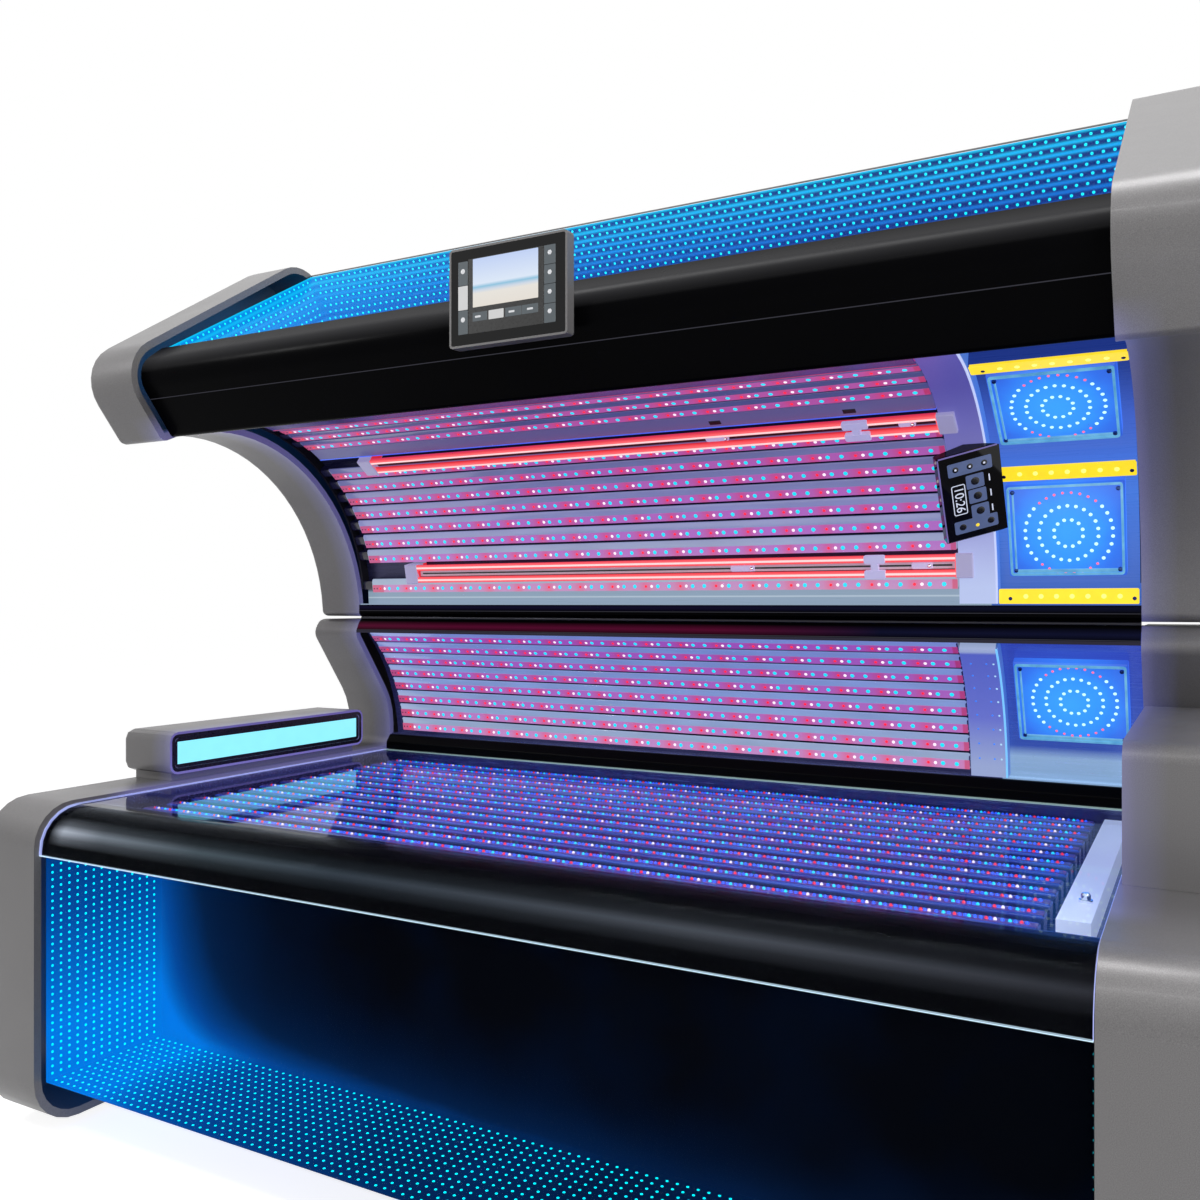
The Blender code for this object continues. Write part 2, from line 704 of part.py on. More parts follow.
def bench_tray():
    """Open reflector tray with the row of lamps that lie in it."""
    floor = TRAY_FLOOR + TRAY_WALL
    tray = loft("bench_lamp_tray", [
        at_z(SPAN - TRAY_WALL, TRAY_FRONT + TRAY_WALL, tray_rear - TRAY_WALL, floor),
        at_z(SPAN - TRAY_WALL, TRAY_FRONT + TRAY_WALL, tray_rear - TRAY_WALL, tray_top),
        at_z(SPAN, TRAY_FRONT, tray_rear, tray_top),
        at_z(SPAN, TRAY_FRONT, tray_rear, TRAY_FLOOR),
    ], REFLECTOR)
    pitch = (tray_rear - TRAY_FRONT - 2 * TRAY_WALL) / BENCH_LAMPS
    lamps = []
    for k in range(BENCH_LAMPS):
        y = TRAY_FRONT + TRAY_WALL + (k + 0.5) * pitch
        centre = Vector((y, floor + LAMP_DEPTH / 2 - TRAY_WALL / 2))
        section = [centre + p for p in rectangle(LAMP_WIDTH, LAMP_DEPTH + TRAY_WALL, LAMP_CORNER)]
        lamps.append([at_x(section, BENCH_LAMP_FOOT_END), at_x(section, BENCH_LAMP_HEAD_END)])
    combine(tray, [blocks("bench_lamps", lamps, LAMP)])


bench_tray()
block("bench_head_strip",
      (HEAD_STRIP_START, HEAD_STRIP_FRONT, TRAY_FLOOR + TRAY_WALL + FIT),
      (HEAD_STRIP_START + HEAD_STRIP_WIDTH, HEAD_STRIP_REAR, HEAD_STRIP_TOP), PALE)
nozzle_height = tray_top - HEAD_STRIP_TOP - 2 * FIT
turned("mist_nozzle", (NOZZLE_X, NOZZLE_Y, HEAD_STRIP_TOP + FIT), (0, 0, 1), [
    (0, NOZZLE_RADIUS), (NOZZLE_COLLAR, NOZZLE_RADIUS), (NOZZLE_COLLAR, NOZZLE_NECK_RADIUS),
    (nozzle_height - NOZZLE_TAPER, NOZZLE_NECK_RADIUS), (nozzle_height, NOZZLE_TIP_RADIUS)], CHROME)
ledge_rear = LEDGE_FRONT + LEDGE_DEPTH
prism("bench_hinge_rail", rounded([
    (LEDGE_FRONT, ACRYLIC_TOP + FIT, 0), (ledge_rear, ACRYLIC_TOP + FIT, 0), (ledge_rear, LEDGE_TOP, 0),
    (LEDGE_FRONT + LEDGE_CHAMFER[0], LEDGE_TOP, LEDGE_RADIUS),
    (LEDGE_FRONT, LEDGE_TOP - LEDGE_CHAMFER[1], LEDGE_RADIUS)]), -SPAN, SPAN, BLACK)

# Side lamp wall

side_centre = Vector((WALL_FOOT - SIDE_SETBACK, DECK - SIDE_DROP))
side_back = SIDE_TRAY_RADIUS * FLAT - FIT
side_flange = LEDGE_TOP + FIT + TRAY_SHEET
lower_rail_floor = WALL_TOP - LOWER_RAIL_HEIGHT


def lamp_section(centre, back_radius, degrees):
    """Rounded lamp section that stands on a reflector arc, on its inner side."""
    plane = Plane(centre, back_radius, degrees, 0)
    outline = rectangle(LAMP_WIDTH, LAMP_DEPTH, LAMP_CORNER)
    points = [plane.origin + p.x * plane.v + (p.y + LAMP_DEPTH / 2) * plane.n for p in outline]
    return [Vector((p.y, p.z)) for p in points]


def arc_angle(centre, radius, z):
    """Where an arc reaches a height, in degrees."""
    return math.degrees(math.asin((z - centre.y) / radius))


def side_tray():
    """Curved reflector behind the side lamps, with its lamps, foot flange and top lip."""
    foot = arc_angle(side_centre, SIDE_TRAY_RADIUS, side_flange)
    curve = arc(side_centre, SIDE_TRAY_RADIUS, foot, SIDE_TRAY_TOP_ANGLE)
    line = [Vector((WALL_FOOT + CAP_RIM / 2, side_flange))] + curve
    line.append(Vector((curve[-1].x, lower_rail_floor - FIT)))
    tray = prism("side_lamp_tray", band(line, TRAY_SHEET), -SPAN, SPAN, REFLECTOR)
    lamps = []
    for k in range(SIDE_LAMPS):
        angle = SIDE_LAMP_FIRST + k * SIDE_LAMP_STEP
        section = lamp_section(side_centre, SIDE_TRAY_RADIUS + TRAY_SHEET / 2, angle)
        lamps.append([at_x(section, LAMP_FOOT_END), at_x(section, LAMP_HEAD_END)])
    combine(tray, [blocks("side_lamps", lamps, LAMP)])


side_tray()


def arc_band(name, centre, back_radius, depth, first, last, start, width, material):
    """A curved strip that lies on a reflector arc."""
    back = arc(centre, back_radius, first, last)
    front = arc(centre, back_radius - depth, first, last)
    return prism(name, back + front[::-1], start, start + width, material)


side_divider_foot = arc_angle(side_centre, side_back - DIVIDER_DEPTH, side_flange + FIT)
arc_band("side_divider", side_centre, side_back, DIVIDER_DEPTH, side_divider_foot, SIDE_DIVIDER_LIP_ANGLE,
         DIVIDER_START, DIVIDER_WIDTH, PALE)


def face_light(name, centre, back_radius, degrees, height, depth):
    """A square lamp box whose back edges stand on the reflector arc."""
    chord = math.sqrt(back_radius ** 2 - (height / 2) ** 2)
    plane = Plane(centre, chord, degrees, FACE_LIGHT_X)
    outline = rectangle(FACE_LIGHT_WIDTH, height, FACE_LIGHT_EDGE)
    return slab(name, plane, outline, depth, FACE_LIGHT_EDGE, FACE_LIGHT)


face_light("side_face_light", side_centre, side_back, SIDE_FACE_LIGHT_ANGLE, SIDE_FACE_LIGHT_HEIGHT,
           SIDE_FACE_LIGHT_DEPTH)

# Head console and lit sign

prism("head_console", rounded([
    (CONSOLE_FRONT, DECK + FIT, 0), (CONSOLE_FRONT, CONSOLE_TOP, CONSOLE_RADIUS),
    (CONSOLE_REAR, CONSOLE_TOP, CONSOLE_RADIUS / 3), (CONSOLE_REAR, DECK + FIT, 0),
]), CONSOLE_START, INNER_HALF + BASE_CAP_WIDTH, SILVER)

sign_middle = Vector((SIGN_FRONT + SIGN_LENGTH / 2, SIGN_FLOOR + SIGN_HEIGHT / 2))
sign_outline = [sign_middle + p for p in rectangle(SIGN_LENGTH, SIGN_HEIGHT, SIGN_RADIUS)]
sign_face = -INNER_HALF
sign_end = sign_face - BASE_CAP_WIDTH
sign_window = inset(sign_outline, SIGN_RIM)
sign = loft("sign_housing", [
    at_x(sign_window, sign_face - SIGN_POCKET), at_x(sign_window, sign_face), at_x(sign_outline, sign_face),
    *round_edge(sign_outline, sign_end, -1)], SILVER)
foot_low = (sign_end + SIGN_FOOT_INSET, SIGN_FRONT + SIGN_FOOT_INSET, DECK + FIT)
foot_high = (sign_face - SIGN_FOOT_INSET, SIGN_FRONT + SIGN_LENGTH - SIGN_FOOT_INSET, SIGN_FLOOR + SIGN_RIM)
combine(sign, [block("sign_foot", foot_low, foot_high, SILVER)])
lens_outline = inset(sign_outline, SIGN_RIM + FIT)
lens_back = sign_face - SIGN_POCKET + FIT
prism("sign_lens", lens_outline, lens_back, lens_back + SIGN_LENS, CYAN)

# Hinge rails and rod

hinge_centre = Vector((HINGE_Y, HINGE_Z))
rail_front = HINGE_Y - HINGE_RAIL_FRONT
rail_rear = HINGE_Y + HINGE_RAIL_REAR


def hinge_rail(name, front, edge_z, height, first, last):
    """Black rail along the seam: its front points, a groove for the hinge rod and a flat back."""
    groove = arc(hinge_centre, HINGE_ROD_RADIUS + HINGE_ROD_PLAY, first, last, GROOVE_STEP)
    outline = front + [Vector((HINGE_Y - HINGE_ROD_RADIUS, edge_z))] + groove
    outline += [Vector((rail_rear, edge_z)), Vector((rail_rear, edge_z + height))]
    return prism(name, outline, -SPAN, SPAN, BLACK)


def fascia():
    """Front points of the lower rail, which hangs as a sheet before the top side lamp."""
    outer = [Vector((HINGE_Y - FASCIA_REACH, WALL_TOP - FASCIA_DROP)),
             Vector((HINGE_Y - FASCIA_REACH, WALL_TOP - FASCIA_BEND)),
             Vector((rail_front, WALL_TOP - HINGE_CHAMFER))]
    foot, bend, head = offset(outer, -FASCIA_SHEET)
    root = bend.lerp(head, (lower_rail_floor - bend.y) / (head.y - bend.y))
    return [root, bend, foot] + outer


seam_angle = math.degrees(math.asin(SEAM / 2 / (HINGE_ROD_RADIUS + HINGE_ROD_PLAY)))
hinge_rail("lower_hinge_rail", fascia(), WALL_TOP, -LOWER_RAIL_HEIGHT, -180 + seam_angle, -seam_angle)
upper_front = [Vector((rail_front, CANOPY_FLOOR + UPPER_RAIL_HEIGHT)),
               Vector((rail_front, CANOPY_FLOOR + HINGE_CHAMFER))]
upper_rail = hinge_rail("upper_hinge_rail", upper_front, CANOPY_FLOOR, UPPER_RAIL_HEIGHT,
                        180 - seam_angle, seam_angle)
bar("hinge_rod", (-SPAN, HINGE_Y, HINGE_Z), (1, 0, 0), 2 * SPAN, HINGE_ROD_RADIUS, CHROME)

# Lift actuator: crank ears on the canopy rail, a tube on the base frame and a rod

crank = hinge_centre + Vector(CRANK)
anchor = hinge_centre + Vector(ANCHOR)
reach = crank - anchor
lift = Vector((0, reach.x, reach.y)).normalized()


def ears(pin, pin_radius, feet, thickness):
    """Two plates and the pin between them, as solids to join to what carries them."""
    half = EYE_WIDTH / 2 + EAR_GAP
    outline = [Vector(p) for p in feet]
    left = prism("ear", outline, -half - thickness, -half, STEEL)
    right = prism("ear", outline, half, half + thickness, STEEL)
    length = 2 * half + thickness
    start = (-length / 2, pin.x, pin.y)
    bolt = bar("bolt", start, (1, 0, 0), length, pin_radius, STEEL)
    return [left, right, bolt]


def ear_outline(pin, radius, root):
    """A plate that runs from its two root points round a pin."""
    root = [Vector(p) for p in root]
    middle = (root[0] + root[1]) / 2
    away = (pin - middle).normalized()
    side = Vector((-away.y, away.x))
    tip = pin + away * radius * EAR_TIP[0]
    half_tip = side * radius * EAR_TIP[1]
    head = [pin - side * radius, tip - half_tip, tip + half_tip, pin + side * radius]
    if (root[0] - root[1]).dot(side) > 0:
        root.reverse()
    return [root[0]] + head + [root[1]]


crank_roots = [(rail_rear - CRANK_ROOT_DEPTH, CANOPY_FLOOR + CRANK_ROOT_INSET),
               (rail_rear - CRANK_ROOT_DEPTH, CANOPY_FLOOR + UPPER_RAIL_HEIGHT - CRANK_ROOT_INSET)]
combine(upper_rail, ears(crank, CRANK_PIN_RADIUS, ear_outline(crank, CRANK_EAR_RADIUS, crank_roots), EAR))


def eye(name, centre, radius, bore_centre, bore_radius, stem):
    """Joins a round eye to a stem and bores it across."""
    start = (-EYE_WIDTH / 2, centre.x, centre.y)
    ring = bar(name, start, (1, 0, 0), EYE_WIDTH, radius, STEEL, FINE_SIDES)
    bore_start = (-EYE_WIDTH, bore_centre.x, bore_centre.y)
    bore = bar("bore", bore_start, (1, 0, 0), 2 * EYE_WIDTH, bore_radius, STEEL, FINE_SIDES)
    combine(stem, [ring])
    return combine(stem, [bore], "DIFFERENCE")


anchor_3d = Vector((0, anchor.x, anchor.y))
lift_tube = turned("lift_actuator_tube", anchor_3d, lift, [
    (BORE_START, BORE_RADIUS), (TUBE_LENGTH, BORE_RADIUS), (TUBE_LENGTH, TUBE_RADIUS),
    (ANCHOR_EYE_RADIUS / 2, TUBE_RADIUS)], STEEL)
eye("anchor_eye", anchor, ANCHOR_EYE_RADIUS, anchor, ANCHOR_PIN_RADIUS + FIT, lift_tube)
crank_eye = crank + Vector(CRANK_SHIFT)
crank_eye_radius = CRANK_PIN_RADIUS + CRANK_PLAY + CRANK_EYE_WALL
rod_length = reach.length - crank_eye_radius / 2 - ROD_START
lift_rod = bar("lift_actuator_rod", anchor_3d + lift * ROD_START, lift, rod_length, ROD_RADIUS, CHROME)
eye("crank_eye", crank_eye, crank_eye_radius, crank_eye, CRANK_PIN_RADIUS + CRANK_PLAY, lift_rod)

# Base frame, feet and inner units

front_post = box_back + FIT + BEAM / 2
tray_seat = TRAY_FLOOR - POST_TOP_GAP
arm_top = lower_rail_floor - FIT
rear_post_top = arm_top - BEAM / 3
mid_beam_z = anchor.y - MID_BEAM_DROP


def beam(low, high):
    """One square tube of the frame, as a box between the ends of its middle line."""
    half = BEAM / 2
    return block("beam", [v - half for v in low], [v + half for v in high], STEEL)


def base_frame():
    """Welded frame: floor rails, cross beams, posts, hinge arms and the actuator's ears."""
    rail_z = FRAME_FLOOR + BEAM / 2
    beams = []
    for y in (front_post, REAR_POST):
        beams.append(beam((-POST_X, y, rail_z), (POST_X, y, rail_z)))
    for x in (-POST_X, -CROSS_X, CROSS_X, POST_X):
        beams.append(beam((x, front_post, rail_z), (x, REAR_POST, rail_z)))
    for x in (-POST_X, POST_X):
        beams.append(beam((x, front_post, rail_z), (x, front_post, tray_seat - BEAM / 2)))
        beams.append(beam((x, front_post, tray_seat - BEAM / 2), (x, REAR_POST, tray_seat - BEAM / 2)))
        beams.append(beam((x, REAR_POST, rail_z), (x, REAR_POST, rear_post_top - BEAM / 2)))
        arm_z = arm_top - BEAM / 2
        beams.append(beam((x, rail_rear - BEAM / 2, arm_z), (x, REAR_POST - BEAM / 2, arm_z)))
    beams.append(beam((-POST_X, REAR_POST, mid_beam_z), (POST_X, REAR_POST, mid_beam_z)))
    frame = beams[0]
    frame.name = "base_frame"
    combine(frame, beams[1:])
    roots = [(REAR_POST, mid_beam_z - BEAM / 3), (REAR_POST, mid_beam_z + BEAM / 3)]
    combine(frame, ears(anchor, ANCHOR_PIN_RADIUS, ear_outline(anchor, ANCHOR_EAR_RADIUS, roots), EAR))


base_frame()

for end, x in (("left", -POST_X), ("right", POST_X)):
    for edge, y in (("front", front_post), ("rear", REAR_POST)):
        turned(f"foot_{edge}_{end}", (x, y, 0), (0, 0, 1), [
            (0, FOOT_RADIUS), (FRAME_FLOOR / 3, FOOT_RADIUS), (FRAME_FLOOR / 2, FOOT_RADIUS / 2),
            (FRAME_FLOOR - FIT, FOOT_RADIUS / 2)], RUBBER, FINE_SIDES)

beam_top = FRAME_FLOOR + BEAM
supply = block("power_supply",
               (CROSS_X - SUPPLY_LENGTH / 2, -SUPPLY_WIDTH / 2, beam_top + FIT),
               (CROSS_X + SUPPLY_LENGTH / 2, SUPPLY_WIDTH / 2, beam_top + FIT + SUPPLY_HEIGHT), STEEL)
edge_bevel = supply.modifiers.new("edges", "BEVEL")
edge_bevel.width = SUPPLY_EDGE
edge_bevel.segments = 2

blower_low = Vector((BLOWER_X - BLOWER_DEPTH / 2, BLOWER_Y - BLOWER_SIDE / 2, beam_top + FIT))
blower_high = Vector((BLOWER_X + BLOWER_DEPTH / 2, BLOWER_Y + BLOWER_SIDE / 2, beam_top + FIT + BLOWER_SIDE))
blower_axis = (blower_low + blower_high) / 2


def blower():
    """Square fan housing with a round inlet on its head side, a fixed shaft and a bladed rotor."""
    housing = block("blower_housing", blower_low, blower_high, STEEL)
    floor = (blower_low.x + BLOWER_WALL, blower_axis.y, blower_axis.z)
    cavity = bar("cavity", floor, (1, 0, 0), BLOWER_DEPTH, BLOWER_RADIUS, STEEL, FINE_SIDES)
    combine(housing, [cavity], "DIFFERENCE")
    outlet_half = Vector((BLOWER_DEPTH / 2 - 2 * BLOWER_WALL, BLOWER_RADIUS / 2, 0))
    outlet_top = Vector((0, 0, BLOWER_SIDE / 2 + BLOWER_WALL))
    outlet = block("outlet", blower_axis - outlet_half, blower_axis + outlet_half + outlet_top, STEEL)
    combine(housing, [outlet], "DIFFERENCE")
    shaft_foot = (blower_low.x + BLOWER_WALL / 2, blower_axis.y, blower_axis.z)
    shaft_length = BLOWER_WALL + ROTOR_LENGTH
    combine(housing, [bar("shaft", shaft_foot, (1, 0, 0), shaft_length, SHAFT_RADIUS, STEEL)])
    start = blower_low.x + BLOWER_WALL + FIT
    outline = []
    middle = Vector((blower_axis.y, blower_axis.z))
    blade = ((ROTOR_HUB, -BLADE_ROOT_ANGLE), (ROTOR_RADIUS, 0), (ROTOR_RADIUS, BLADE_TIP_ANGLE),
             (ROTOR_HUB, BLADE_ROOT_ANGLE))
    for k in range(ROTOR_BLADES):
        for radius, angle in blade:
            a = math.radians(360 / ROTOR_BLADES * k + angle)
            outline.append(middle + radius * Vector((math.cos(a), math.sin(a))))
    rotor = prism("blower_rotor", outline, start, start + ROTOR_LENGTH, BLACK)
    bore_start = (start - ROTOR_LENGTH / 2, blower_axis.y, blower_axis.z)
    bore = bar("bore", bore_start, (1, 0, 0), 2 * ROTOR_LENGTH, SHAFT_RADIUS + FIT, STEEL)
    return combine(rotor, [bore], "DIFFERENCE")


rotor = blower()

# Canopy shell

arc_end = TUNNEL + TUNNEL_RADIUS * Vector((math.cos(math.radians(ARC_LIP)), math.sin(math.radians(ARC_LIP))))
lip = arc_end + Vector(LIP_STEP)
nose = lip + Vector(NOSE_STEP)
crest = nose + Vector(CREST_STEP)
shoulder = hinge_centre + Vector(SHOULDER)
back_bend = hinge_centre + Vector(BACK_BEND)
rear_foot = Vector((HINGE_Y + CANOPY_DEPTH, CANOPY_FLOOR))
canopy_foot = Vector((HINGE_Y - TUNNEL_SETBACK, CANOPY_FLOOR))

canopy_outline = rounded(
    [(p.x, p.y, 0) for p in arc(TUNNEL, TUNNEL_RADIUS, ARC_LIP, ARC_FOOT)]
    + [(*canopy_foot, CANOPY_FOOT_RADIUS), (*rear_foot, NOSE_RADIUS), (*back_bend, BACK_BEND_RADIUS),
       (*shoulder, SHOULDER_RADIUS), (*crest, CREST_RADIUS), (*nose, CANOPY_NOSE_RADIUS), (*lip, LIP_RADIUS)])
canopy = [end_cap("canopy_end_cap_left", canopy_outline, CANOPY_CAP_WIDTH, -1),
          end_cap("canopy_end_cap_right", canopy_outline, CANOPY_CAP_WIDTH, 1), upper_rail]

rail_nose = nose + Vector(RAIL_NOSE_INSET)
rail_top = rail_nose + Vector(RAIL_TOP_STEP)
rail_foot = lip + Vector(RAIL_FOOT_STEP)
rail_tail = rail_foot + Vector(RAIL_TAIL_STEP)
rail_line = path([(*rail_top, 0), (*rail_nose, RAIL_NOSE_RADIUS), (*rail_foot, RAIL_WALL), (*rail_tail, 0)])
canopy.append(prism("canopy_front_rail", band(rail_line, -RAIL_WALL), -SPAN, SPAN, BLACK))

# Canopy light box and its half mirror, on the slope from the rail to the crest

slope = Vector((math.cos(math.radians(MIRROR_RISE)), math.sin(math.radians(MIRROR_RISE))))
under = Vector((slope.y, -slope.x))
glass_foot = rail_top + slope * MIRROR_GAP
box_wall_top = GLASS + FIT


def on_slope(half_x, near, far, depth):
    """A rectangle across X and the slope at one depth under the mirror."""
    a = glass_foot + slope * near + under * depth
    b = glass_foot + slope * far + under * depth
    return across(half_x, a, b)


glass_loops = [on_slope(SPAN, 0, MIRROR_LENGTH, depth) for depth in (0, GLASS)]
canopy.append(loft("canopy_mirror_glass", glass_loops, MIRROR))
box_near = RAIL_WALL + BOX_WALL
canopy.append(loft("canopy_light_box", [
    on_slope(SPAN - BOX_WALL, box_near + BOX_WALL, MIRROR_LENGTH - BOX_WALL, box_wall_top + CANOPY_BOX_DEPTH),
    on_slope(SPAN - BOX_WALL, box_near + BOX_WALL, MIRROR_LENGTH - BOX_WALL, box_wall_top),
    on_slope(SPAN, box_near, MIRROR_LENGTH, box_wall_top),
    on_slope(SPAN, box_near, MIRROR_LENGTH, box_wall_top + CANOPY_BOX_DEPTH + BOX_WALL),
], BLUE_BOX))

box_corner = glass_foot + slope * MIRROR_LENGTH + under * box_wall_top
fall = (shoulder - crest).normalized()
inward = Vector((fall.y, -fall.x))
cover_back = COVER_INSET + COVER_WALL + FIT
meet = box_corner + under * (cover_back - (box_corner - crest).dot(inward)) / under.dot(inward)
shell_start = crest + fall * (meet - crest).dot(fall)
shell_line = path([(*shell_start, 0), (*shoulder, SHOULDER_RADIUS), (*back_bend, BACK_BEND_RADIUS),
                   (*rear_foot, 0)])
shell_face = offset(shell_line, -COVER_INSET)
canopy.append(prism("canopy_rear_shell", band(shell_face, COVER_WALL), -SPAN, SPAN, SILVER))

# Canopy lamps

lamp_centre = hinge_centre + Vector((-LAMP_ARC_REACH, LAMP_ARC_RISE))
canopy_flange = CANOPY_FLOOR + UPPER_RAIL_HEIGHT + FIT + TRAY_SHEET
lamp_back = CANOPY_TRAY_RADIUS * FLAT - FIT
lamp_front = lamp_back - LAMP_DEPTH
divider_face = (lamp_back - DIVIDER_DEPTH) * FLAT


def canopy_tray():
    """Curved reflector with a foot flange, an upper lip and the three amber bars at the head end."""
    foot = arc_angle(lamp_centre, CANOPY_TRAY_RADIUS, canopy_flange)
    line = [Vector((HINGE_Y - FLANGE_REACH, canopy_flange))]
    line += arc(lamp_centre, CANOPY_TRAY_RADIUS, foot, TRAY_LIP_ANGLE)
    line += arc(lamp_centre, CANOPY_TRAY_RADIUS - TRAY_LIP_DEPTH, TRAY_LIP_ANGLE, TRAY_LIP_ANGLE)[:1]
    tray = prism("canopy_lamp_tray", band(line, TRAY_SHEET), -SPAN, SPAN, REFLECTOR)
    start = SPAN - BOX_WALL - GLOW_BAR_LENGTH
    bars = []
    for angle in GLOW_BAR_ANGLES:
        plane = Plane(lamp_centre, CANOPY_TRAY_RADIUS + TRAY_SHEET / 2, angle, start + GLOW_BAR_LENGTH / 2)
        outline = rectangle(GLOW_BAR_LENGTH, GLOW_BAR_WIDTH)
        bars.append([plane.loop(outline, 0), plane.loop(outline, GLOW_BAR_DEPTH)])
    return combine(tray, [blocks("amber_bars", bars, FACE_LIGHT)])


def canopy_lamp(name, degrees):
    """A lamp tube with a smaller socket at each end."""
    section = lamp_section(lamp_centre, lamp_back, degrees)
    middle = sum(section, Vector((0, 0))) / len(section)
    socket = [middle + (p - middle) * SOCKET_SHARE for p in section]
    stations = [(LAMP_FOOT_END - SOCKET_LENGTH, socket), (LAMP_FOOT_END, socket), (LAMP_FOOT_END, section),
                (LAMP_HEAD_END, section)]
    return loft(name, [at_x(outline, x) for x, outline in stations], LAMP)


def red_pair(name, degrees):
    """Two red tubes before the lamps, in a holder on the reflector and a flat one on the divider."""
    foot_x = RED_START + RED_HOLDER_LENGTH / 2
    end_x = LAMP_HEAD_END - RED_END_LAP + RED_END_LENGTH / 2
    end_chord = math.sqrt((divider_face - FIT) ** 2 - (RED_HOLDER_WIDTH / 2) ** 2)
    stem_plane = Plane(lamp_centre, lamp_back, degrees + RED_STEM_LEAN, foot_x)
    foot_plane = Plane(lamp_centre, lamp_front - RED_HOLDER_GAP, degrees, foot_x)
    end_plane = Plane(lamp_centre, end_chord, degrees, end_x)
    holders = []
    for plane, length, width, depth in (
        (stem_plane, RED_HOLDER_LENGTH, RED_STEM_WIDTH, LAMP_DEPTH + 2 * RED_HOLDER_EDGE),
        (foot_plane, RED_HOLDER_LENGTH, RED_HOLDER_WIDTH, RED_HOLDER_DEPTH),
        (end_plane, RED_END_LENGTH, RED_HOLDER_WIDTH, RED_END_DEPTH),
    ):
        outline = rectangle(length, width, RED_HOLDER_EDGE)
        holders.append(slab(name, plane, outline, depth, RED_HOLDER_EDGE, PALE))
    axis = Plane(lamp_centre, lamp_front - RED_TUBE_GAP - RED_TUBE_RADIUS, degrees, foot_x)
    length = LAMP_HEAD_END - foot_x
    tubes = []
    for side in (-1, 1):
        foot = axis.origin + axis.v * side * RED_TUBE_HALF_PITCH
        tubes.append(bar("tube", foot, (1, 0, 0), length, RED_TUBE_RADIUS, RED_LAMP, SMALL_SIDES))
    pair = combine(holders[0], holders[1:] + tubes)
    pair.name = name
    return pair


canopy.append(canopy_tray())
lamp_angles = [first + LAMP_STEP * k for first, count in LAMP_ROWS for k in range(count)]
for number, angle in enumerate(lamp_angles, 1):
    canopy.append(canopy_lamp(f"canopy_lamp_{number:02d}", angle))
for level, angle in zip(("lower", "upper"), RED_ANGLES):
    canopy.append(red_pair(f"red_light_pair_{level}", angle))

# Canopy head end: divider, face lights and control panel

divider_foot = arc_angle(lamp_centre, lamp_back - DIVIDER_DEPTH, canopy_flange + FIT)
canopy.append(arc_band("canopy_divider", lamp_centre, lamp_back, DIVIDER_DEPTH, divider_foot,
                       DIVIDER_LIP_ANGLE, DIVIDER_START, DIVIDER_WIDTH, PALE))
for level, angle in zip(("lower", "upper"), FACE_LIGHT_ANGLES):
    canopy.append(face_light(f"face_light_{level}", lamp_centre, lamp_back, angle, FACE_LIGHT_HEIGHT,
                             FACE_LIGHT_DEPTH))

panel_half = PANEL_HEIGHT / 2 - PANEL_EDGE
panel_chord = math.sqrt(divider_face ** 2 - panel_half ** 2)


def control_panel():
    """A plate turned to the head end, on a wedge that stands on the divider."""
    plane = Plane(lamp_centre, panel_chord - FIT, PANEL_ANGLE, INNER_HALF - PANEL_INSET)
    turn = math.radians(PANEL_TURN)
    face = Vector((math.cos(turn), -math.sin(turn))) * PANEL_WIDTH
    head = Vector((face.x / 2, PANEL_TOE))
    near = head - face
    back = near - Vector((math.sin(turn), math.cos(turn))) * PANEL_DEPTH
    foot = DIVIDER_START + DIVIDER_WIDTH - plane.origin.x - PANEL_EDGE
    section = [head, near, back, Vector((foot - PANEL_FOOT, 0)), Vector((foot, 0))]
    loops = []
    end = PANEL_HEIGHT / 2
    drawn = inset(section, PANEL_EDGE)
    for height, points in ((-end, drawn), (-panel_half, section), (panel_half, section), (end, drawn)):
        loops.append([plane.origin + p.x * plane.u + p.y * plane.n + height * plane.v for p in points])
    return loft("inner_control_panel", loops, BLACK)


canopy.append(control_panel())

# Display on the front rail

display_outline = rectangle(DISPLAY_WIDTH, DISPLAY_HEIGHT, DISPLAY_RADIUS)
rail_face = min(rail_line, key=lambda p: p.x)
display_front = rail_face.x - DISPLAY_GAP
display_z = rail_face.y + DISPLAY_LIFT


def display_loop(outline, y):
    """A display outline across X and Z at one y."""
    return [Vector((DISPLAY_X + p.x, y, display_z + p.y)) for p in outline]


window = inset(display_outline, DISPLAY_BEZEL)
housing = loft("display_housing", [
    display_loop(window, display_front + GLASS + FIT), display_loop(window, display_front),
    display_loop(display_outline, display_front),
    display_loop(display_outline, display_front + DISPLAY_DEPTH)], SILVER)
neck_x = (DISPLAY_X - DISPLAY_NECK_WIDTH / 2, DISPLAY_X + DISPLAY_NECK_WIDTH / 2)
neck_y = (display_front + DISPLAY_DEPTH / 2, rail_face.x - FIT)
neck_z = (rail_face.y - DISPLAY_NECK_HEIGHT / 2, rail_face.y + DISPLAY_NECK_HEIGHT / 2)
neck_low, neck_high = zip(neck_x, neck_y, neck_z)
canopy.append(combine(housing, [block("neck", neck_low, neck_high, SILVER)]))
glass_outline = inset(display_outline, DISPLAY_BEZEL + FIT)
canopy.append(loft("display_glass", [display_loop(glass_outline, display_front + FIT),
                                     display_loop(glass_outline, display_front + GLASS)], BLACK))

# Moving bodies hang on empties at their joints

hang(pivot("canopy_hinge", (0, HINGE_Y, HINGE_Z)), *canopy)
hang(pivot("acrylic_hinge", (0, ACRYLIC_REAR, ACRYLIC_TOP - ACRYLIC / 2)), acrylic)
hang(pivot("blower_spin", blower_axis), rotor)
hang(pivot("lift_swing", anchor_3d), lift_tube, lift_rod)
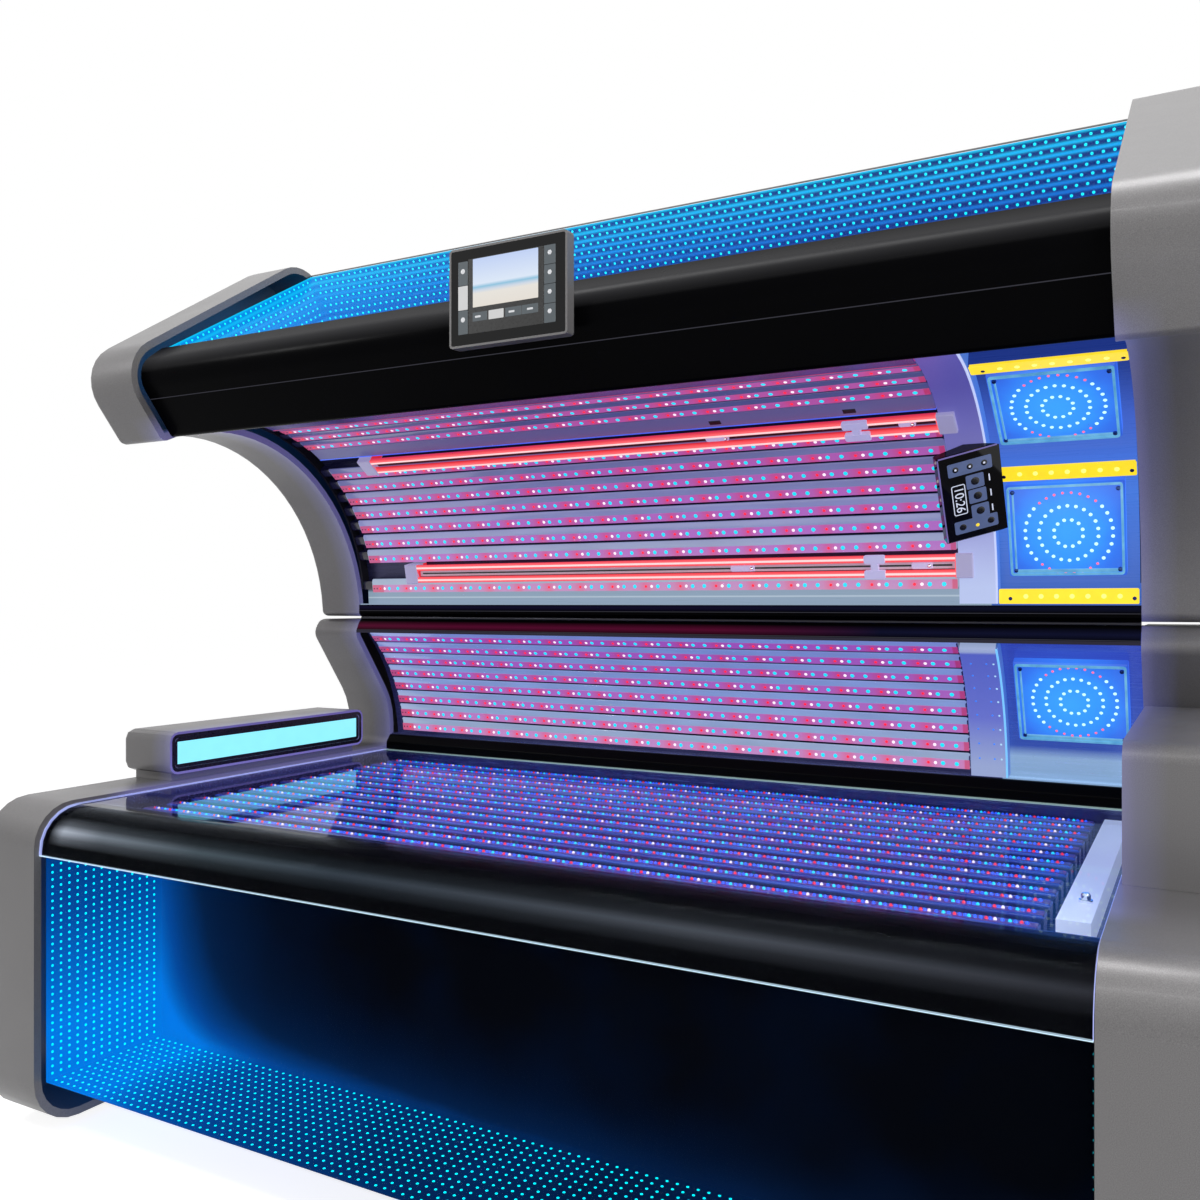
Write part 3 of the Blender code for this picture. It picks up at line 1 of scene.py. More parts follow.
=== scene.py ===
"""Tanning bed: finishes, lit lamps and panels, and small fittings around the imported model.

Metres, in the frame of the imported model. New pieces are closed shells: rings of points, worked out as whole
arrays and joined from ring to ring.
"""
import math

import bmesh
import bpy
import numpy as np
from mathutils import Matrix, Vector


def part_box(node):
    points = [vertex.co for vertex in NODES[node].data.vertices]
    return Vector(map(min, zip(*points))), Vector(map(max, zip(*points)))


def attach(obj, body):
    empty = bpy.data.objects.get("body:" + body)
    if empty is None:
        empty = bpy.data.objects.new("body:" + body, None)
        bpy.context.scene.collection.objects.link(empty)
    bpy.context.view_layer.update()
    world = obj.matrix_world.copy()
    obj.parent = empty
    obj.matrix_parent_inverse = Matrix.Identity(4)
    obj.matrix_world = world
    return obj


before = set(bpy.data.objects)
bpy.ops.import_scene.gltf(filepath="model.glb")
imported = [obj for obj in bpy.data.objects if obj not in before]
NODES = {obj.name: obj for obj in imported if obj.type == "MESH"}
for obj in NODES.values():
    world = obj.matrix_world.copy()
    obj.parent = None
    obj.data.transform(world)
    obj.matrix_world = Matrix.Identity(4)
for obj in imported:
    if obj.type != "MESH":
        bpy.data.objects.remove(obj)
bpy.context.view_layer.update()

# Lamp arcs of the model: centre (y, z), and distance of the lamp fronts from it; then the bench lamps
LAMP_ARC = (-0.1787, 1.0827)
LAMP_FRONT = 0.4441
LAMP_TRAY = 0.4762
LAMP_ANGLES = np.concatenate(((7.23,), 17.79 + 5.55 * np.arange(7), 66.59 + 5.55 * np.arange(7)))
CANOPY_HEIGHTS = (1.12, 1.50)
DIVIDER_FRONT = 0.4371
BAND_SPAN = (-0.930, 0.633)
SIDE = (-0.0459, 0.6778)
SIDE_FRONT = 0.4428
SIDE_TRAY = 0.4727
SIDE_FIRST = 9.0
SIDE_STEP = 5.3575
SIDE_LAMPS = 8
SIDE_HEIGHTS = (0.74, 1.00)
SIDE_DIVIDER_FRONT = 0.43355
BENCH_FIRST = -0.578
BENCH_PITCH = 0.06755
BENCH_LAMPS = 14
BENCH_TOP = 0.645
BENCH_SPAN = (-0.93, 0.885)

# Red pairs, amber bars and inner panel on the canopy arc
RED_ANGLES = (11.4, 54.7)
RED_FRONT = 0.4273
RED_SLOT = 0.4437
RED_HALF_PITCH = 0.0161
RED_SPAN = (-0.760, 0.6335)
BAR_ANGLES = (2.8, 35.9, 73.1)
BAR_FRONT = 0.44235
BAR_X = 0.8425
PANEL_ANGLE = 34.0
PANEL_TURN = math.radians(28.0)

# Head end: where it starts, the divider's edge, and the rings of lights (count, radius) on a face light
HEAD_END = 0.70
DIVIDER_EDGE = 0.7085
FACE_RINGS = ((12, 0.0267), (22, 0.0540), (32, 0.0795))

# Edges of the bench acrylic, and the middle of the back cover
ACRYLIC_FLAT = 0.6740
ACRYLIC_FRONT_EDGE = 0.5822
ACRYLIC_REAR = 0.3602
ACRYLIC_END = 0.9722
BACK_MIDDLE = (0.0, 0.700, 0.238)

# A lamp: clear housing, and a lit board on the lower half of its front
LAMP_SPAN = (-0.932, 0.634)
LAMP_WIDTH = 0.036
LAMP_DEPTH = 0.030
HOUSING_WIDTH = 0.0376
SIDE_HOUSING_WIDTH = 0.0362
SKIN = 0.0004
BOARD_WIDTH = 0.0202
BOARD_DROP = 0.0081
BOARD_LIFT = 0.0008
LED_DROP = 0.0080
LED_PERIOD = 0.0905
LED_START = -0.9037
LED_PERIODS = 24

# Lit panels
FRONT_BOX_X = 0.9715
FRONT_BOX_Y = (-0.6837, -0.4047)
FRONT_BOX_Z = (0.122, 0.578)
DOT_PITCH = 0.019
DOT_ROW = 0.0146
DOT_RADIUS = 0.0029
DOT_LIFT = 0.0012
GLASS_FOOT = (-0.4008, 1.6651)
GLASS_RISE = math.radians(31.3)
GLASS_FAR = 0.5438
CANOPY_ROWS = 7
CANOPY_ROW_FIRST = 0.0130
CANOPY_ROW_PITCH = 0.0172

# Camera, levels of room and floor, and soft lights: place, aim, size and power
CAMERA_PLACE = (1.0936, -2.098, 1.091)
CAMERA_TURN = math.radians(29)
CAMERA_LENS = 33.135
CAMERA_SENSOR = 36.0
CAMERA_SHIFT = 0.0025
ROOM_LEVEL = 0.24
FLOOR_SHADE = 0.55
LIGHTS = {
    "key": ((3.2, -2.2, 2.4), (0.6, 0.0, 0.9), (1.8, 2.4), 62),
    "left_softbox": ((-2.2, -2.0, 2.5), (-0.8, -0.7, 0.65), (0.24, 0.24), 15),
    "front_strip": ((0.2, -2.7, 3.4), (0.0, -0.6, 0.7), (4.0, 0.10), 22),
    "top": ((0.0, -0.2, 4.2), (0.0, 0.0, 1.0), (3.5, 0.8), 100),
}

# Directions: the axes, and the way up the sloped glass and the way under it
X = np.array((1.0, 0.0, 0.0))
Y = np.array((0.0, 1.0, 0.0))
Z = np.array((0.0, 0.0, 1.0))
GLASS_SLOPE = math.cos(GLASS_RISE) * Y + math.sin(GLASS_RISE) * Z
GLASS_UNDER = math.sin(GLASS_RISE) * Y - math.cos(GLASS_RISE) * Z
GLASS_EDGE = np.array((0.0, *GLASS_FOOT))


# Camera, light and floor
def placed(name, data):
    """Object for its data, in the scene."""
    made = bpy.data.objects.new(name, data)
    bpy.context.collection.objects.link(made)
    return made


def camera():
    """Level camera at the photograph's place, turned about the upright axis."""
    data = bpy.data.cameras.new("camera")
    data.lens = CAMERA_LENS
    data.sensor_width = CAMERA_SENSOR
    data.shift_y = CAMERA_SHIFT
    made = placed("camera", data)
    made.location = CAMERA_PLACE
    made.rotation_euler = (math.radians(90), 0, CAMERA_TURN)
    bpy.context.scene.camera = made


def soft_light(name, place, aim, size, power):
    """Rectangular area lamp at a place, turned so that it faces its aim."""
    data = bpy.data.lights.new(name, "AREA")
    data.shape = "RECTANGLE"
    data.size, data.size_y = size
    data.energy = power
    made = placed(name, data)
    made.location = place
    made.rotation_euler = (made.location - type(made.location)(aim)).to_track_quat("Z", "Y").to_euler()


def white_room(level):
    """World that lights softly, and is plain white where the camera, gloss or glass sees it."""
    world = bpy.data.worlds.new("room")
    world.use_nodes = True
    room = Nodes(world.node_tree)
    background = room.tree.nodes["Background"].inputs
    room.put(background["Color"], (1, 1, 1))
    strength = room.add("MapRange", {"Value": room.seen(), "To Min": level})["Result"]
    room.put(background["Strength"], strength)
    bpy.context.scene.world = world


def floor(level):
    """Wide pale floor that keeps the shadow, and is white where the camera, gloss or glass sees it."""
    bpy.ops.mesh.primitive_plane_add(size=400)
    made = bpy.context.object
    made.name = "floor"
    finish = Finish("floor_white", colour=(FLOOR_SHADE,) * 3, rough=0.7, specular=0.0, glow=(1, 1, 1))
    finish.to("power", finish.maths("MULTIPLY", finish.seen(), 1 - FLOOR_SHADE * level))
    made.data.materials.append(finish.material)


# Finishes
SOCKETS = {
    "colour": "Base Color", "rough": "Roughness", "metal": "Metallic", "alpha": "Alpha", "ior": "IOR",
    "glow": "Emission Color", "power": "Emission Strength", "coat": "Coat Weight",
    "coat_rough": "Coat Roughness", "through": "Transmission Weight", "specular": "Specular IOR Level",
    "normal": "Normal",
}


class Nodes:
    """A node tree, and short ways to add to it."""

    def __init__(self, tree):
        self.tree = tree

    def put(self, port, value):
        """Links an output to a port, or sets the port to a number, a vector or a colour."""
        if isinstance(value, bpy.types.NodeSocket):
            self.tree.links.new(value, port)
        else:
            port.default_value = (*value, 1.0) if port.type == "RGBA" else value

    def add(self, kind, inputs, **settings):
        """A node with its settings, and its inputs linked or set."""
        node = self.tree.nodes.new("ShaderNode" + kind)
        for key, value in settings.items():
            setattr(node, key, value)
        for key, value in inputs.items():
            self.put(node.inputs[key], value)
        return node.outputs

    def maths(self, operation, *values):
        """One operation on outputs or numbers."""
        return self.add("Math", dict(enumerate(values)), operation=operation)["Value"]

    def seen(self):
        """One where the camera, gloss or glass sees a surface."""
        path = self.add("LightPath", {})
        seen = self.maths("MAXIMUM", path["Is Camera Ray"], path["Is Glossy Ray"])
        return self.maths("MAXIMUM", seen, path["Is Transmission Ray"])


class Finish(Nodes):
    """A material with one Principled shader, and short ways to the patterns that these finishes share."""

    def __init__(self, name, **constants):
        self.material = bpy.data.materials.new(name)
        self.material.use_nodes = True
        super().__init__(self.material.node_tree)
        self.shader = self.tree.nodes["Principled BSDF"]
        for key, value in constants.items():
            self.to(key, value)

    def to(self, key, value):
        """Links an output to a socket of the shader, or sets the socket."""
        self.put(self.shader.inputs[SOCKETS[key]], value)
        return self

    def point(self, stretch=(1, 1, 1)):
        """Object coordinates, stretched along the axes."""
        place = self.add("TexCoord", {})["Object"]
        return self.add("Mapping", {"Vector": place, "Scale": stretch})["Vector"]

    def reach(self, direction):
        """How far a point lies along a direction."""
        inputs = {0: self.point(), 1: tuple(direction)}
        return self.add("VectorMath", inputs, operation="DOT_PRODUCT")["Value"]

    def share(self, value, start, stop):
        """Share of the way of a value from start to stop, held between 0 and 1."""
        return self.add("MapRange", {"Value": value, "From Min": start, "From Max": stop})["Result"]

    def along(self, direction, start, stop):
        """Share of the way from start to stop along a direction, held between 0 and 1."""
        return self.share(self.reach(direction), start, stop)

    def wave(self, direction, start, pitch):
        """Share of one pitch along a direction, starting again at each pitch."""
        turns = self.maths("MULTIPLY_ADD", self.reach(direction), 1 / pitch, -start / pitch)
        return self.maths("FRACT", turns)

    def around(self, centre, stretch=(1, 1, 1)):
        """Distance from a point, or from an axis where one stretch is zero."""
        inputs = {0: self.point(stretch), 1: tuple(centre)}
        return self.add("VectorMath", inputs, operation="DISTANCE")["Value"]

    def radius(self, centre):
        """Distance from an axis that runs along X."""
        return self.around((0.0, *centre), (0, 1, 1))

    def beyond(self, direction, *limits):
        """One past any of the limits along a direction: each limit is its value and the sign of the side."""
        reach, found = self.reach(direction), None
        for value, sign in limits:
            past = self.maths("GREATER_THAN" if sign > 0 else "LESS_THAN", reach, value)
            found = past if found is None else self.maths("MAXIMUM", found, past)
        return found

    def noise(self, scale, detail=3.0, stretch=(1, 1, 1)):
        """Cloudy field of levels around a half."""
        inputs = {"Vector": self.point(stretch), "Scale": scale, "Detail": detail}
        return self.add("TexNoise", inputs)["Fac"]

    def ramp(self, factor, *stops):
        """Colours, or grey levels, at their shares of the factor."""
        node = self.tree.nodes.new("ShaderNodeValToRGB")
        band = node.color_ramp
        while len(band.elements) < len(stops):
            band.elements.new(0.5)
        for element, (share, colour) in zip(band.elements, stops):
            element.position = share
            element.color = (*(np.ones(3) * colour), 1.0)
        self.tree.links.new(factor, node.inputs["Fac"])
        return node.outputs["Color"]

    def fade(self, direction, start, stop, *stops):
        """Colours, or grey levels, at their shares of the way from start to stop along a direction."""
        return self.ramp(self.along(direction, start, stop), *stops)

    def cloud(self, scale, detail, low, high, stretch=(1, 1, 1)):
        """Two colours, or grey levels, blended by a noise."""
        return self.ramp(self.noise(scale, detail, stretch), (0.3, low), (0.7, high))

    def mix(self, factor, first, second, blend="MIX"):
        """Blend of two colours by a factor."""
        inputs = {0: factor, 6: first, 7: second}
        return self.add("Mix", inputs, data_type="RGBA", blend_type=blend)[2]

    def bump(self, height, strength, distance=0.001):
        """Small relief from a field of heights."""
        inputs = {"Height": height, "Strength": strength, "Distance": distance}
        return self.to("normal", self.add("Bump", inputs)["Normal"])

    def grain(self, scale, low, high, strength, stretch=(1, 1, 1)):
        """Roughness and a fine bump from one noise."""
        field = self.noise(scale, detail=3.0, stretch=stretch)
        self.to("rough", self.ramp(field, (0.3, low), (0.7, high)))
        return self.bump(field, strength)

    def unlit(self):
        """Keeps small glowing pieces out of the direct light sampling."""
        self.material.cycles.emission_sampling = "NONE"
        return self


def silver_paint():
    """Metallic paint: pale flakes on a warm grey, and blue lamp light painted as a glow on the inner edges by
    the lamps.
    """
    made = Finish("silver_metallic_paint", metal=0.25, specular=0.3, coat=0.10, coat_rough=0.12, power=1.0)
    flakes = made.noise(scale=900, detail=2.0)
    made.to("colour", made.ramp(flakes, (0.35, (0.145, 0.141, 0.143)), (0.70, (0.215, 0.209, 0.211))))
    made.to("rough", made.cloud(scale=7, detail=3.0, low=0.36, high=0.46))
    # Painted lamp light: a blue glow on the paint near the lamp ends and close to the canopy and side lamp
    # arcs.
    near = made.share(made.maths("ABSOLUTE", made.reach(X)), 0.974, 1.040)
    edge = made.ramp(near, (0.0, (0.060, 0.060, 0.190)), (0.35, (0.022, 0.024, 0.080)), (1.0, 0.0))
    canopy, side = (
        made.ramp(made.share(made.radius(arc), start, 0.500), (0.0, 1.0), (1.0, 0.0))
        for arc, start in ((LAMP_ARC, 0.450), (SIDE, 0.440))
    )
    made.to("glow", made.mix(1.0, edge, made.maths("MAXIMUM", canopy, side), "MULTIPLY"))
    return made.bump(made.noise(scale=260, detail=2.0), strength=0.05).unlit()


def black_gloss(name, low, high, specular, power=0.0):
    """Polished black moulding with a cloudy gloss, and a glow where one is linked."""
    made = Finish(name, colour=(0.002, 0.002, 0.0025), specular=specular, power=power)
    return made.to("rough", made.cloud(scale=9, detail=4.0, low=low, high=high))


def smoked_glass():
    """Half mirror: thin dark glass that lets most of the light behind it through."""
    made = Finish("smoked_half_mirror", colour=(0.012, 0.016, 0.024), alpha=0.05, specular=0.03)
    made.to("rough", made.cloud(scale=5, detail=3.0, low=0.02, high=0.05))
    return made


def front_glow():
    """Light in the front box: blue that fades from the foot end wall and from the floor upwards."""
    made = Finish("front_panel_glow", colour=(0.002, 0.003, 0.006), rough=0.4, specular=0.0, power=1.0)
    x_fade = made.maths("EXPONENT", made.maths("MULTIPLY", made.along(X, -FRONT_BOX_X, FRONT_BOX_X), -14.0))
    low = made.along(Z, FRONT_BOX_Z[1], FRONT_BOX_Z[0])
    wall = made.maths("MULTIPLY", x_fade, made.maths("MULTIPLY_ADD", low, 0.50, 0.48))
    z_fade = made.maths("EXPONENT", made.maths("MULTIPLY", made.along(Z, *FRONT_BOX_Z), -7.5))
    reach = made.fade(X, -FRONT_BOX_X, FRONT_BOX_X, (0.0, 0.62), (0.45, 0.30), (1.0, 0.08))
    light = made.maths("MULTIPLY_ADD", z_fade, reach, wall)
    cloud = made.maths("MULTIPLY_ADD", made.noise(scale=6, detail=2.0), 0.10, -0.05)
    made.to("glow", made.ramp(
        made.maths("ADD", light, cloud),
        (0.0, (0.0, 0.0, 0.0004)), (0.25, (0.0, 0.012, 0.06)), (0.6, (0.0, 0.070, 0.36)),
        (0.95, (0.0, 0.205, 0.86)),
    ))
    return made


def canopy_glow():
    """Light in the canopy box: bright bands between dark strips, brighter near the glass and the foot end."""
    made = Finish("canopy_panel_glow", colour=(0.004, 0.01, 0.03), rough=0.4, specular=0.0, power=1.0)
    start = float(GLASS_EDGE @ GLASS_UNDER) + CANOPY_ROW_FIRST
    share = made.wave(GLASS_UNDER, start, CANOPY_ROW_PITCH)
    strip = made.ramp(share, (0.0, 1.0), (0.20, 0.85), (0.42, 0.0), (0.58, 0.0), (0.80, 0.85), (1.0, 1.0))
    bright = made.fade(
        GLASS_UNDER, start - CANOPY_ROW_FIRST, start + 0.112,
        (0.0, (0.0, 0.62, 1.0)), (0.5, (0.0, 0.34, 0.95)), (1.0, (0.0, 0.11, 0.62)),
    )
    dark = made.fade(
        X, -0.97, 0.6, (0.0, (0.0, 0.26, 0.85)), (0.35, (0.0, 0.07, 0.42)), (1.0, (0.0, 0.018, 0.20)),
    )
    return made.to("glow", made.mix(strip, bright, dark))


def lamp_shell(name, centre, front, heights, low, middle, high):
    """Clear lamp housing: a cloudy glow with painted shading by height, painted shade on its flanks between
    the lamps, under a thin clear gloss.
    """
    made = Finish(name, rough=0.20, power=1.0, coat=0.3, coat_rough=0.04)
    # Painted shading by height: the glow runs through the low, middle and high colours.
    body = made.fade(Z, *heights, (0.0, low), (0.45, middle), (1.0, high))
    cloud = made.cloud(scale=26, detail=3.0, low=0.84, high=1.0, stretch=(0.25, 1, 1))
    # Painted shade: the flanks, where neighbouring lamps meet, glow nearly black and take a dark colour.
    depth = made.share(made.radius(centre), front + 0.0008, front + 0.0035)
    made.to("glow", made.mix(depth, made.mix(1.0, body, cloud, "MULTIPLY"), (0.002, 0.002, 0.010)))
    made.to("colour", made.mix(depth, (0.10, 0.12, 0.18), (0.004, 0.004, 0.008)))
    return made.unlit()


def canopy_shell(name):
    """Canopy housing glow, with painted shading by height: pale blue-grey low down, lavender halfway and
    slate at the top.
    """
    return lamp_shell(
        name, LAMP_ARC, LAMP_FRONT, CANOPY_HEIGHTS, low=(0.33, 0.42, 0.52), middle=(0.22, 0.23, 0.47),
        high=(0.05, 0.05, 0.18),
    )


def bench_shell():
    """Bench housing: a cloudy deep blue glow on top, and painted shade on its flanks, which glow nearly
    black.
    """
    made = Finish("bench_lamp_housing", colour=(0.02, 0.03, 0.08), rough=0.18, power=1.0)
    cloud = made.cloud(
        scale=18, detail=2.0, low=(0.004, 0.010, 0.21), high=(0.028, 0.080, 0.50), stretch=(0.3, 1, 1),
    )
    # Painted shade on the flanks between the bench lamps.
    flank = made.along(Z, BENCH_TOP - 0.004, BENCH_TOP - 0.001)
    return made.to("glow", made.mix(flank, (0.002, 0.002, 0.04), cloud)).unlit()


def lamp_board(name, span, shades, heights, low, middle, high):
    """Lit board: a glow painted redder round each red light, other colours between, redder ends, and painted
    shading by height.
    """
    near, between, away, ends = shades
    made = Finish(name, colour=(0.10, 0.04, 0.08), rough=0.35, power=1.0)
    # Painted light: the board's glow takes the near colour round each red light.
    share = made.wave(X, LED_START, LED_PERIOD)
    stops = (0.0, near), (0.05, near), (0.20, between), (0.5, away), (0.80, between), (0.95, near)
    end = made.beyond(X, (span[0] + 0.040, -1), (span[1] - 0.012, 1))
    # Painted shading by height.
    tint = made.fade(Z, *heights, (0.0, low), (0.3, middle), (1.0, high))
    made.to("glow", made.mix(1.0, made.mix(end, made.ramp(share, *stops), ends), tint, "MULTIPLY"))
    return made.unlit()


def glowing(name, colour, power, spread=0.25, scale=420):
    """Small light: its colour with a little unevenness."""
    made = Finish(name, colour=tuple(0.3 * c for c in colour), rough=0.25, power=power)
    dim = tuple((1 - spread) * c for c in colour)
    return made.to("glow", made.cloud(scale=scale, detail=1.0, low=dim, high=colour)).unlit()


def face_blue(centre):
    """Square face light: clear sky blue in the middle, violet-blue at the edges, with a soft cloud."""
    name = "face_light_blue_" + str(round(centre[2] * 1000))
    made = Finish(name, rough=0.18, colour=(0.01, 0.05, 0.15), power=1.0)
    cloud = made.maths("MULTIPLY_ADD", made.noise(scale=20, detail=2.0), 0.03, -0.015)
    reach = made.maths("ADD", made.around(centre), cloud)
    made.to("glow", made.ramp(
        made.share(reach, 0.0, 0.15), (0.0, (0.05, 0.38, 1.0)), (0.45, (0.04, 0.30, 1.0)),
        (0.7, (0.035, 0.17, 0.82)), (1.0, (0.032, 0.09, 0.60)),
    ))
    return made.unlit()


def pale_lining(name, tint, colour=(0.62, 0.62, 0.74)):
    """Pale plastic lit by the lamps, with a faint moulded grain."""
    made = Finish(name, colour=colour, power=1.0, glow=tint)
    return made.grain(scale=320, low=0.30, high=0.42, strength=0.05)


def divider_lining(name, centre, front, heights, shades, edge, wall):
    """Pale plastic with painted lamp light by height, and painted blue light towards the head end: a bright
    edge line and a bluer flank.
    """
    foot, middle, top, cap = shades
    made = Finish(name, colour=(0.16, 0.16, 0.24), power=1.0)
    stops = (0.0, foot), (0.08, foot), (0.45, middle), (0.93, top), (0.95, cap)
    # Painted light: glow by height, then blue past the divider's edge.
    past = made.beyond(X, (DIVIDER_EDGE, 1))
    lined = made.mix(past, made.fade(Z, *heights, *stops), edge)
    deep = made.maths("GREATER_THAN", made.radius(centre), front + 0.004)
    made.to("glow", made.mix(made.maths("MULTIPLY", deep, past), lined, wall))
    return made.grain(scale=320, low=0.30, high=0.42, strength=0.05).unlit()


def red_tubes():
    """Red tubes: bright red fronts that deepen to the sides; their holders at both ends are pale lilac, with
    painted lamp light glowing lilac on them.
    """
    made = Finish("red_tubes", rough=0.2, power=1.0)
    depth = made.share(made.radius(LAMP_ARC), RED_FRONT, RED_FRONT + 0.009)
    red = made.ramp(depth, (0.0, (0.96, 0.13, 0.14)), (0.35, (0.90, 0.09, 0.11)), (1.0, (0.60, 0.02, 0.035)))
    holder = made.beyond(X, (RED_SPAN[0], -1), (RED_SPAN[1], 1))
    # Painted lamp light: the holders glow lilac.
    made.to("glow", made.mix(holder, red, (0.20, 0.19, 0.33)))
    return made.to("colour", made.mix(holder, (0.25, 0.01, 0.02), (0.40, 0.38, 0.50))).unlit()


def lined_black(name, seam, foot_reflection, head_reflection, band, lip=0.0):
    """Black gloss with a seam drawn as a painted grey highlight line, a band that glows faintly with a
    painted reflection, and a painted grey glow on the lip under a height.
    """
    made = black_gloss(name, low=0.20, high=0.30, specular=0.012, power=1.0)
    reach = made.reach(Z)
    # Painted reflection: lamp colours from foot to head, glowing in a faint band.
    ends = made.fade(X, -0.95, 0.95, (0.55, foot_reflection), (0.75, head_reflection))
    fade = made.ramp(made.share(reach, *band), (0.0, 0.0), (0.5, 1.0), (1.0, 0.0))
    # The seam line is a painted grey highlight.
    line = made.maths("COMPARE", reach, seam, 0.0007)
    glow = made.mix(line, made.mix(1.0, ends, fade, "MULTIPLY"), (0.035, 0.035, 0.045))
    # Painted grey glow on the lip under the given height.
    made.to("glow", made.mix(made.beyond(Z, (lip, -1)), glow, (0.026, 0.024, 0.038)))
    return made.unlit()


def bumper_black():
    """Black bumper with a painted highlight along its length: white at the foot end, then a thin grey band on
    the bend.
    """
    made = black_gloss("bumper_black_gloss", low=0.20, high=0.24, specular=0.01, power=1.0)
    # Painted highlight: a band on the bend that glows, brightest at the foot end.
    band = made.fade(Z, 0.604, 0.656, (0.0, 0.0), (0.3, 0.30), (0.55, 1.0), (0.75, 0.25), (1.0, 0.0))
    highlight_colour = made.fade(
        X, -0.96, 0.96, (0.0, 0.0), (0.02, (0.48, 0.50, 0.54)), (0.08, (0.20, 0.22, 0.24)),
        (0.22, (0.07, 0.09, 0.10)), (0.40, (0.035, 0.045, 0.055)), (0.75, (0.07, 0.075, 0.085)),
        (1.0, (0.03, 0.03, 0.035)),
    )
    return made.to("glow", made.mix(1.0, highlight_colour, band, "MULTIPLY")).unlit()


def brushed_sheet(name, metal=0.8, dark=(0.06, 0.07, 0.14), light=(0.12, 0.14, 0.24), low=0.18, high=0.30):
    """Brushed aluminium: colour and roughness from one noise that is drawn out along X."""
    made = Finish(name, metal=metal, power=1.0)
    brushed = made.noise(scale=240, detail=3.0, stretch=(0.04, 1, 1))
    made.to("colour", made.ramp(brushed, (0.3, dark), (0.7, light)))
    return made.to("rough", made.ramp(brushed, (0.3, low), (0.7, high))).unlit()


def reflector(name, low, high, heights):
    """Aluminium reflector under coloured light: a brushed sheet that glows by height."""
    made = brushed_sheet(name)
    return made.to("glow", made.fade(Z, *heights, (0.0, low), (1.0, high)))


def lamp_side(made, glow, centre, radius, top):
    """Glow on a curved sheet's lamp side only: past a radius, and under a height, its back stays dark."""
    behind = made.maths("GREATER_THAN", made.radius(centre), radius)
    behind = made.maths("MULTIPLY", behind, made.beyond(Z, (top, -1)))
    return made.to("glow", made.mix(behind, glow, (0.002, 0.002, 0.003)))


def side_reflector():
    """Side reflector: nearly black behind the lamps, lit blue at the head end with a pale foot."""
    made = brushed_sheet("side_reflector")
    behind = made.fade(Z, 0.70, 1.00, (0.0, (0.010, 0.010, 0.04)), (1.0, (0.004, 0.004, 0.02)))
    head = made.fade(
        Z, 0.71, 1.00, (0.0, (0.20, 0.34, 0.52)), (0.18, (0.24, 0.38, 0.58)),
        (0.26, (0.03, 0.07, 0.34)), (1.0, (0.026, 0.053, 0.38)),
    )
    return lamp_side(
        made, made.mix(made.beyond(X, (HEAD_END, 1)), behind, head), centre=SIDE, radius=SIDE_TRAY, top=0.985,
    )


def canopy_reflector():
    """Canopy reflector: a glow nearly black behind the lamps, painted pale light with a brighter line on the
    foot, and painted blue light at the head end.
    """
    made = brushed_sheet(
        "canopy_reflector", metal=0.6, dark=(0.02, 0.02, 0.05), light=(0.04, 0.04, 0.09), low=0.24, high=0.38,
    )
    pale, dark = (0.24, 0.33, 0.42), (0.003, 0.003, 0.012)
    foot = made.fade(
        Z, 1.088, 1.132, (0.0, pale), (0.36, pale), (0.42, (0.45, 0.55, 0.62)), (0.48, pale),
        (0.75, pale), (0.95, dark),
    )
    head = made.fade(
        Z, 1.09, 1.52, (0.0, (0.03, 0.10, 0.42)), (0.5, (0.06, 0.19, 0.70)),
        (0.8, (0.05, 0.12, 0.55)), (1.0, (0.01, 0.03, 0.20)),
    )
    return lamp_side(
        made, made.mix(made.beyond(X, (HEAD_END, 1)), foot, head), centre=LAMP_ARC, radius=LAMP_TRAY,
        top=1.60,
    )


def clear_acrylic():
    """Clear acrylic: a faint blue body, more polish at the foot end, and painted light glowing on its edges.
    """
    made = Finish("clear_acrylic", colour=(0.86, 0.92, 1.0), through=1.0, ior=1.02, coat_rough=0.02)
    made.to("rough", made.cloud(scale=4, detail=2.0, low=0.004, high=0.010))
    polish = made.fade(X, -0.80, -0.45, (0.0, 0.60), (1.0, 0.20))
    made.to("coat", made.maths("MULTIPLY", made.beyond(Z, (ACRYLIC_FLAT, 1)), polish))
    # Painted light: glow on the low front edge, the ends and the rear edge.
    low = made.beyond(Z, (ACRYLIC_FRONT_EDGE, -1))
    front = made.maths("MULTIPLY", low, made.beyond(Y, (-0.5, -1)))
    rear = made.beyond(Y, (ACRYLIC_REAR, 1))
    ends = made.maths("MAXIMUM", made.beyond(X, (-ACRYLIC_END, -1), (ACRYLIC_END, 1)), rear)
    edge = made.mix(rear, (0.30, 0.34, 0.66), (0.26, 0.38, 0.36))
    made.to("glow", made.mix(front, edge, (0.38, 0.50, 0.58)))
    return made.to("power", made.maths("MAXIMUM", front, ends)).unlit()


def metal(name, colour, low, high, scale, stretch, strength):
    """Metal with a directional grain."""
    return Finish(name, colour=colour, metal=1.0).grain(scale, low, high, strength, stretch)


def plastic(name, colour, low, high, scale, strength):
    """Moulded plastic or rubber with a fine texture."""
    return Finish(name, colour=colour).grain(scale, low, high, strength)


def clear_rim():
    """Clear moulding lit from inside."""
    made = Finish("clear_cyan_rim", colour=(0.10, 0.16, 0.20), rough=0.12, power=1.0, coat=0.2)
    made.to("glow", made.cloud(scale=40, detail=2.0, low=(0.06, 0.27, 0.52), high=(0.13, 0.42, 0.66)))
    return made.unlit()


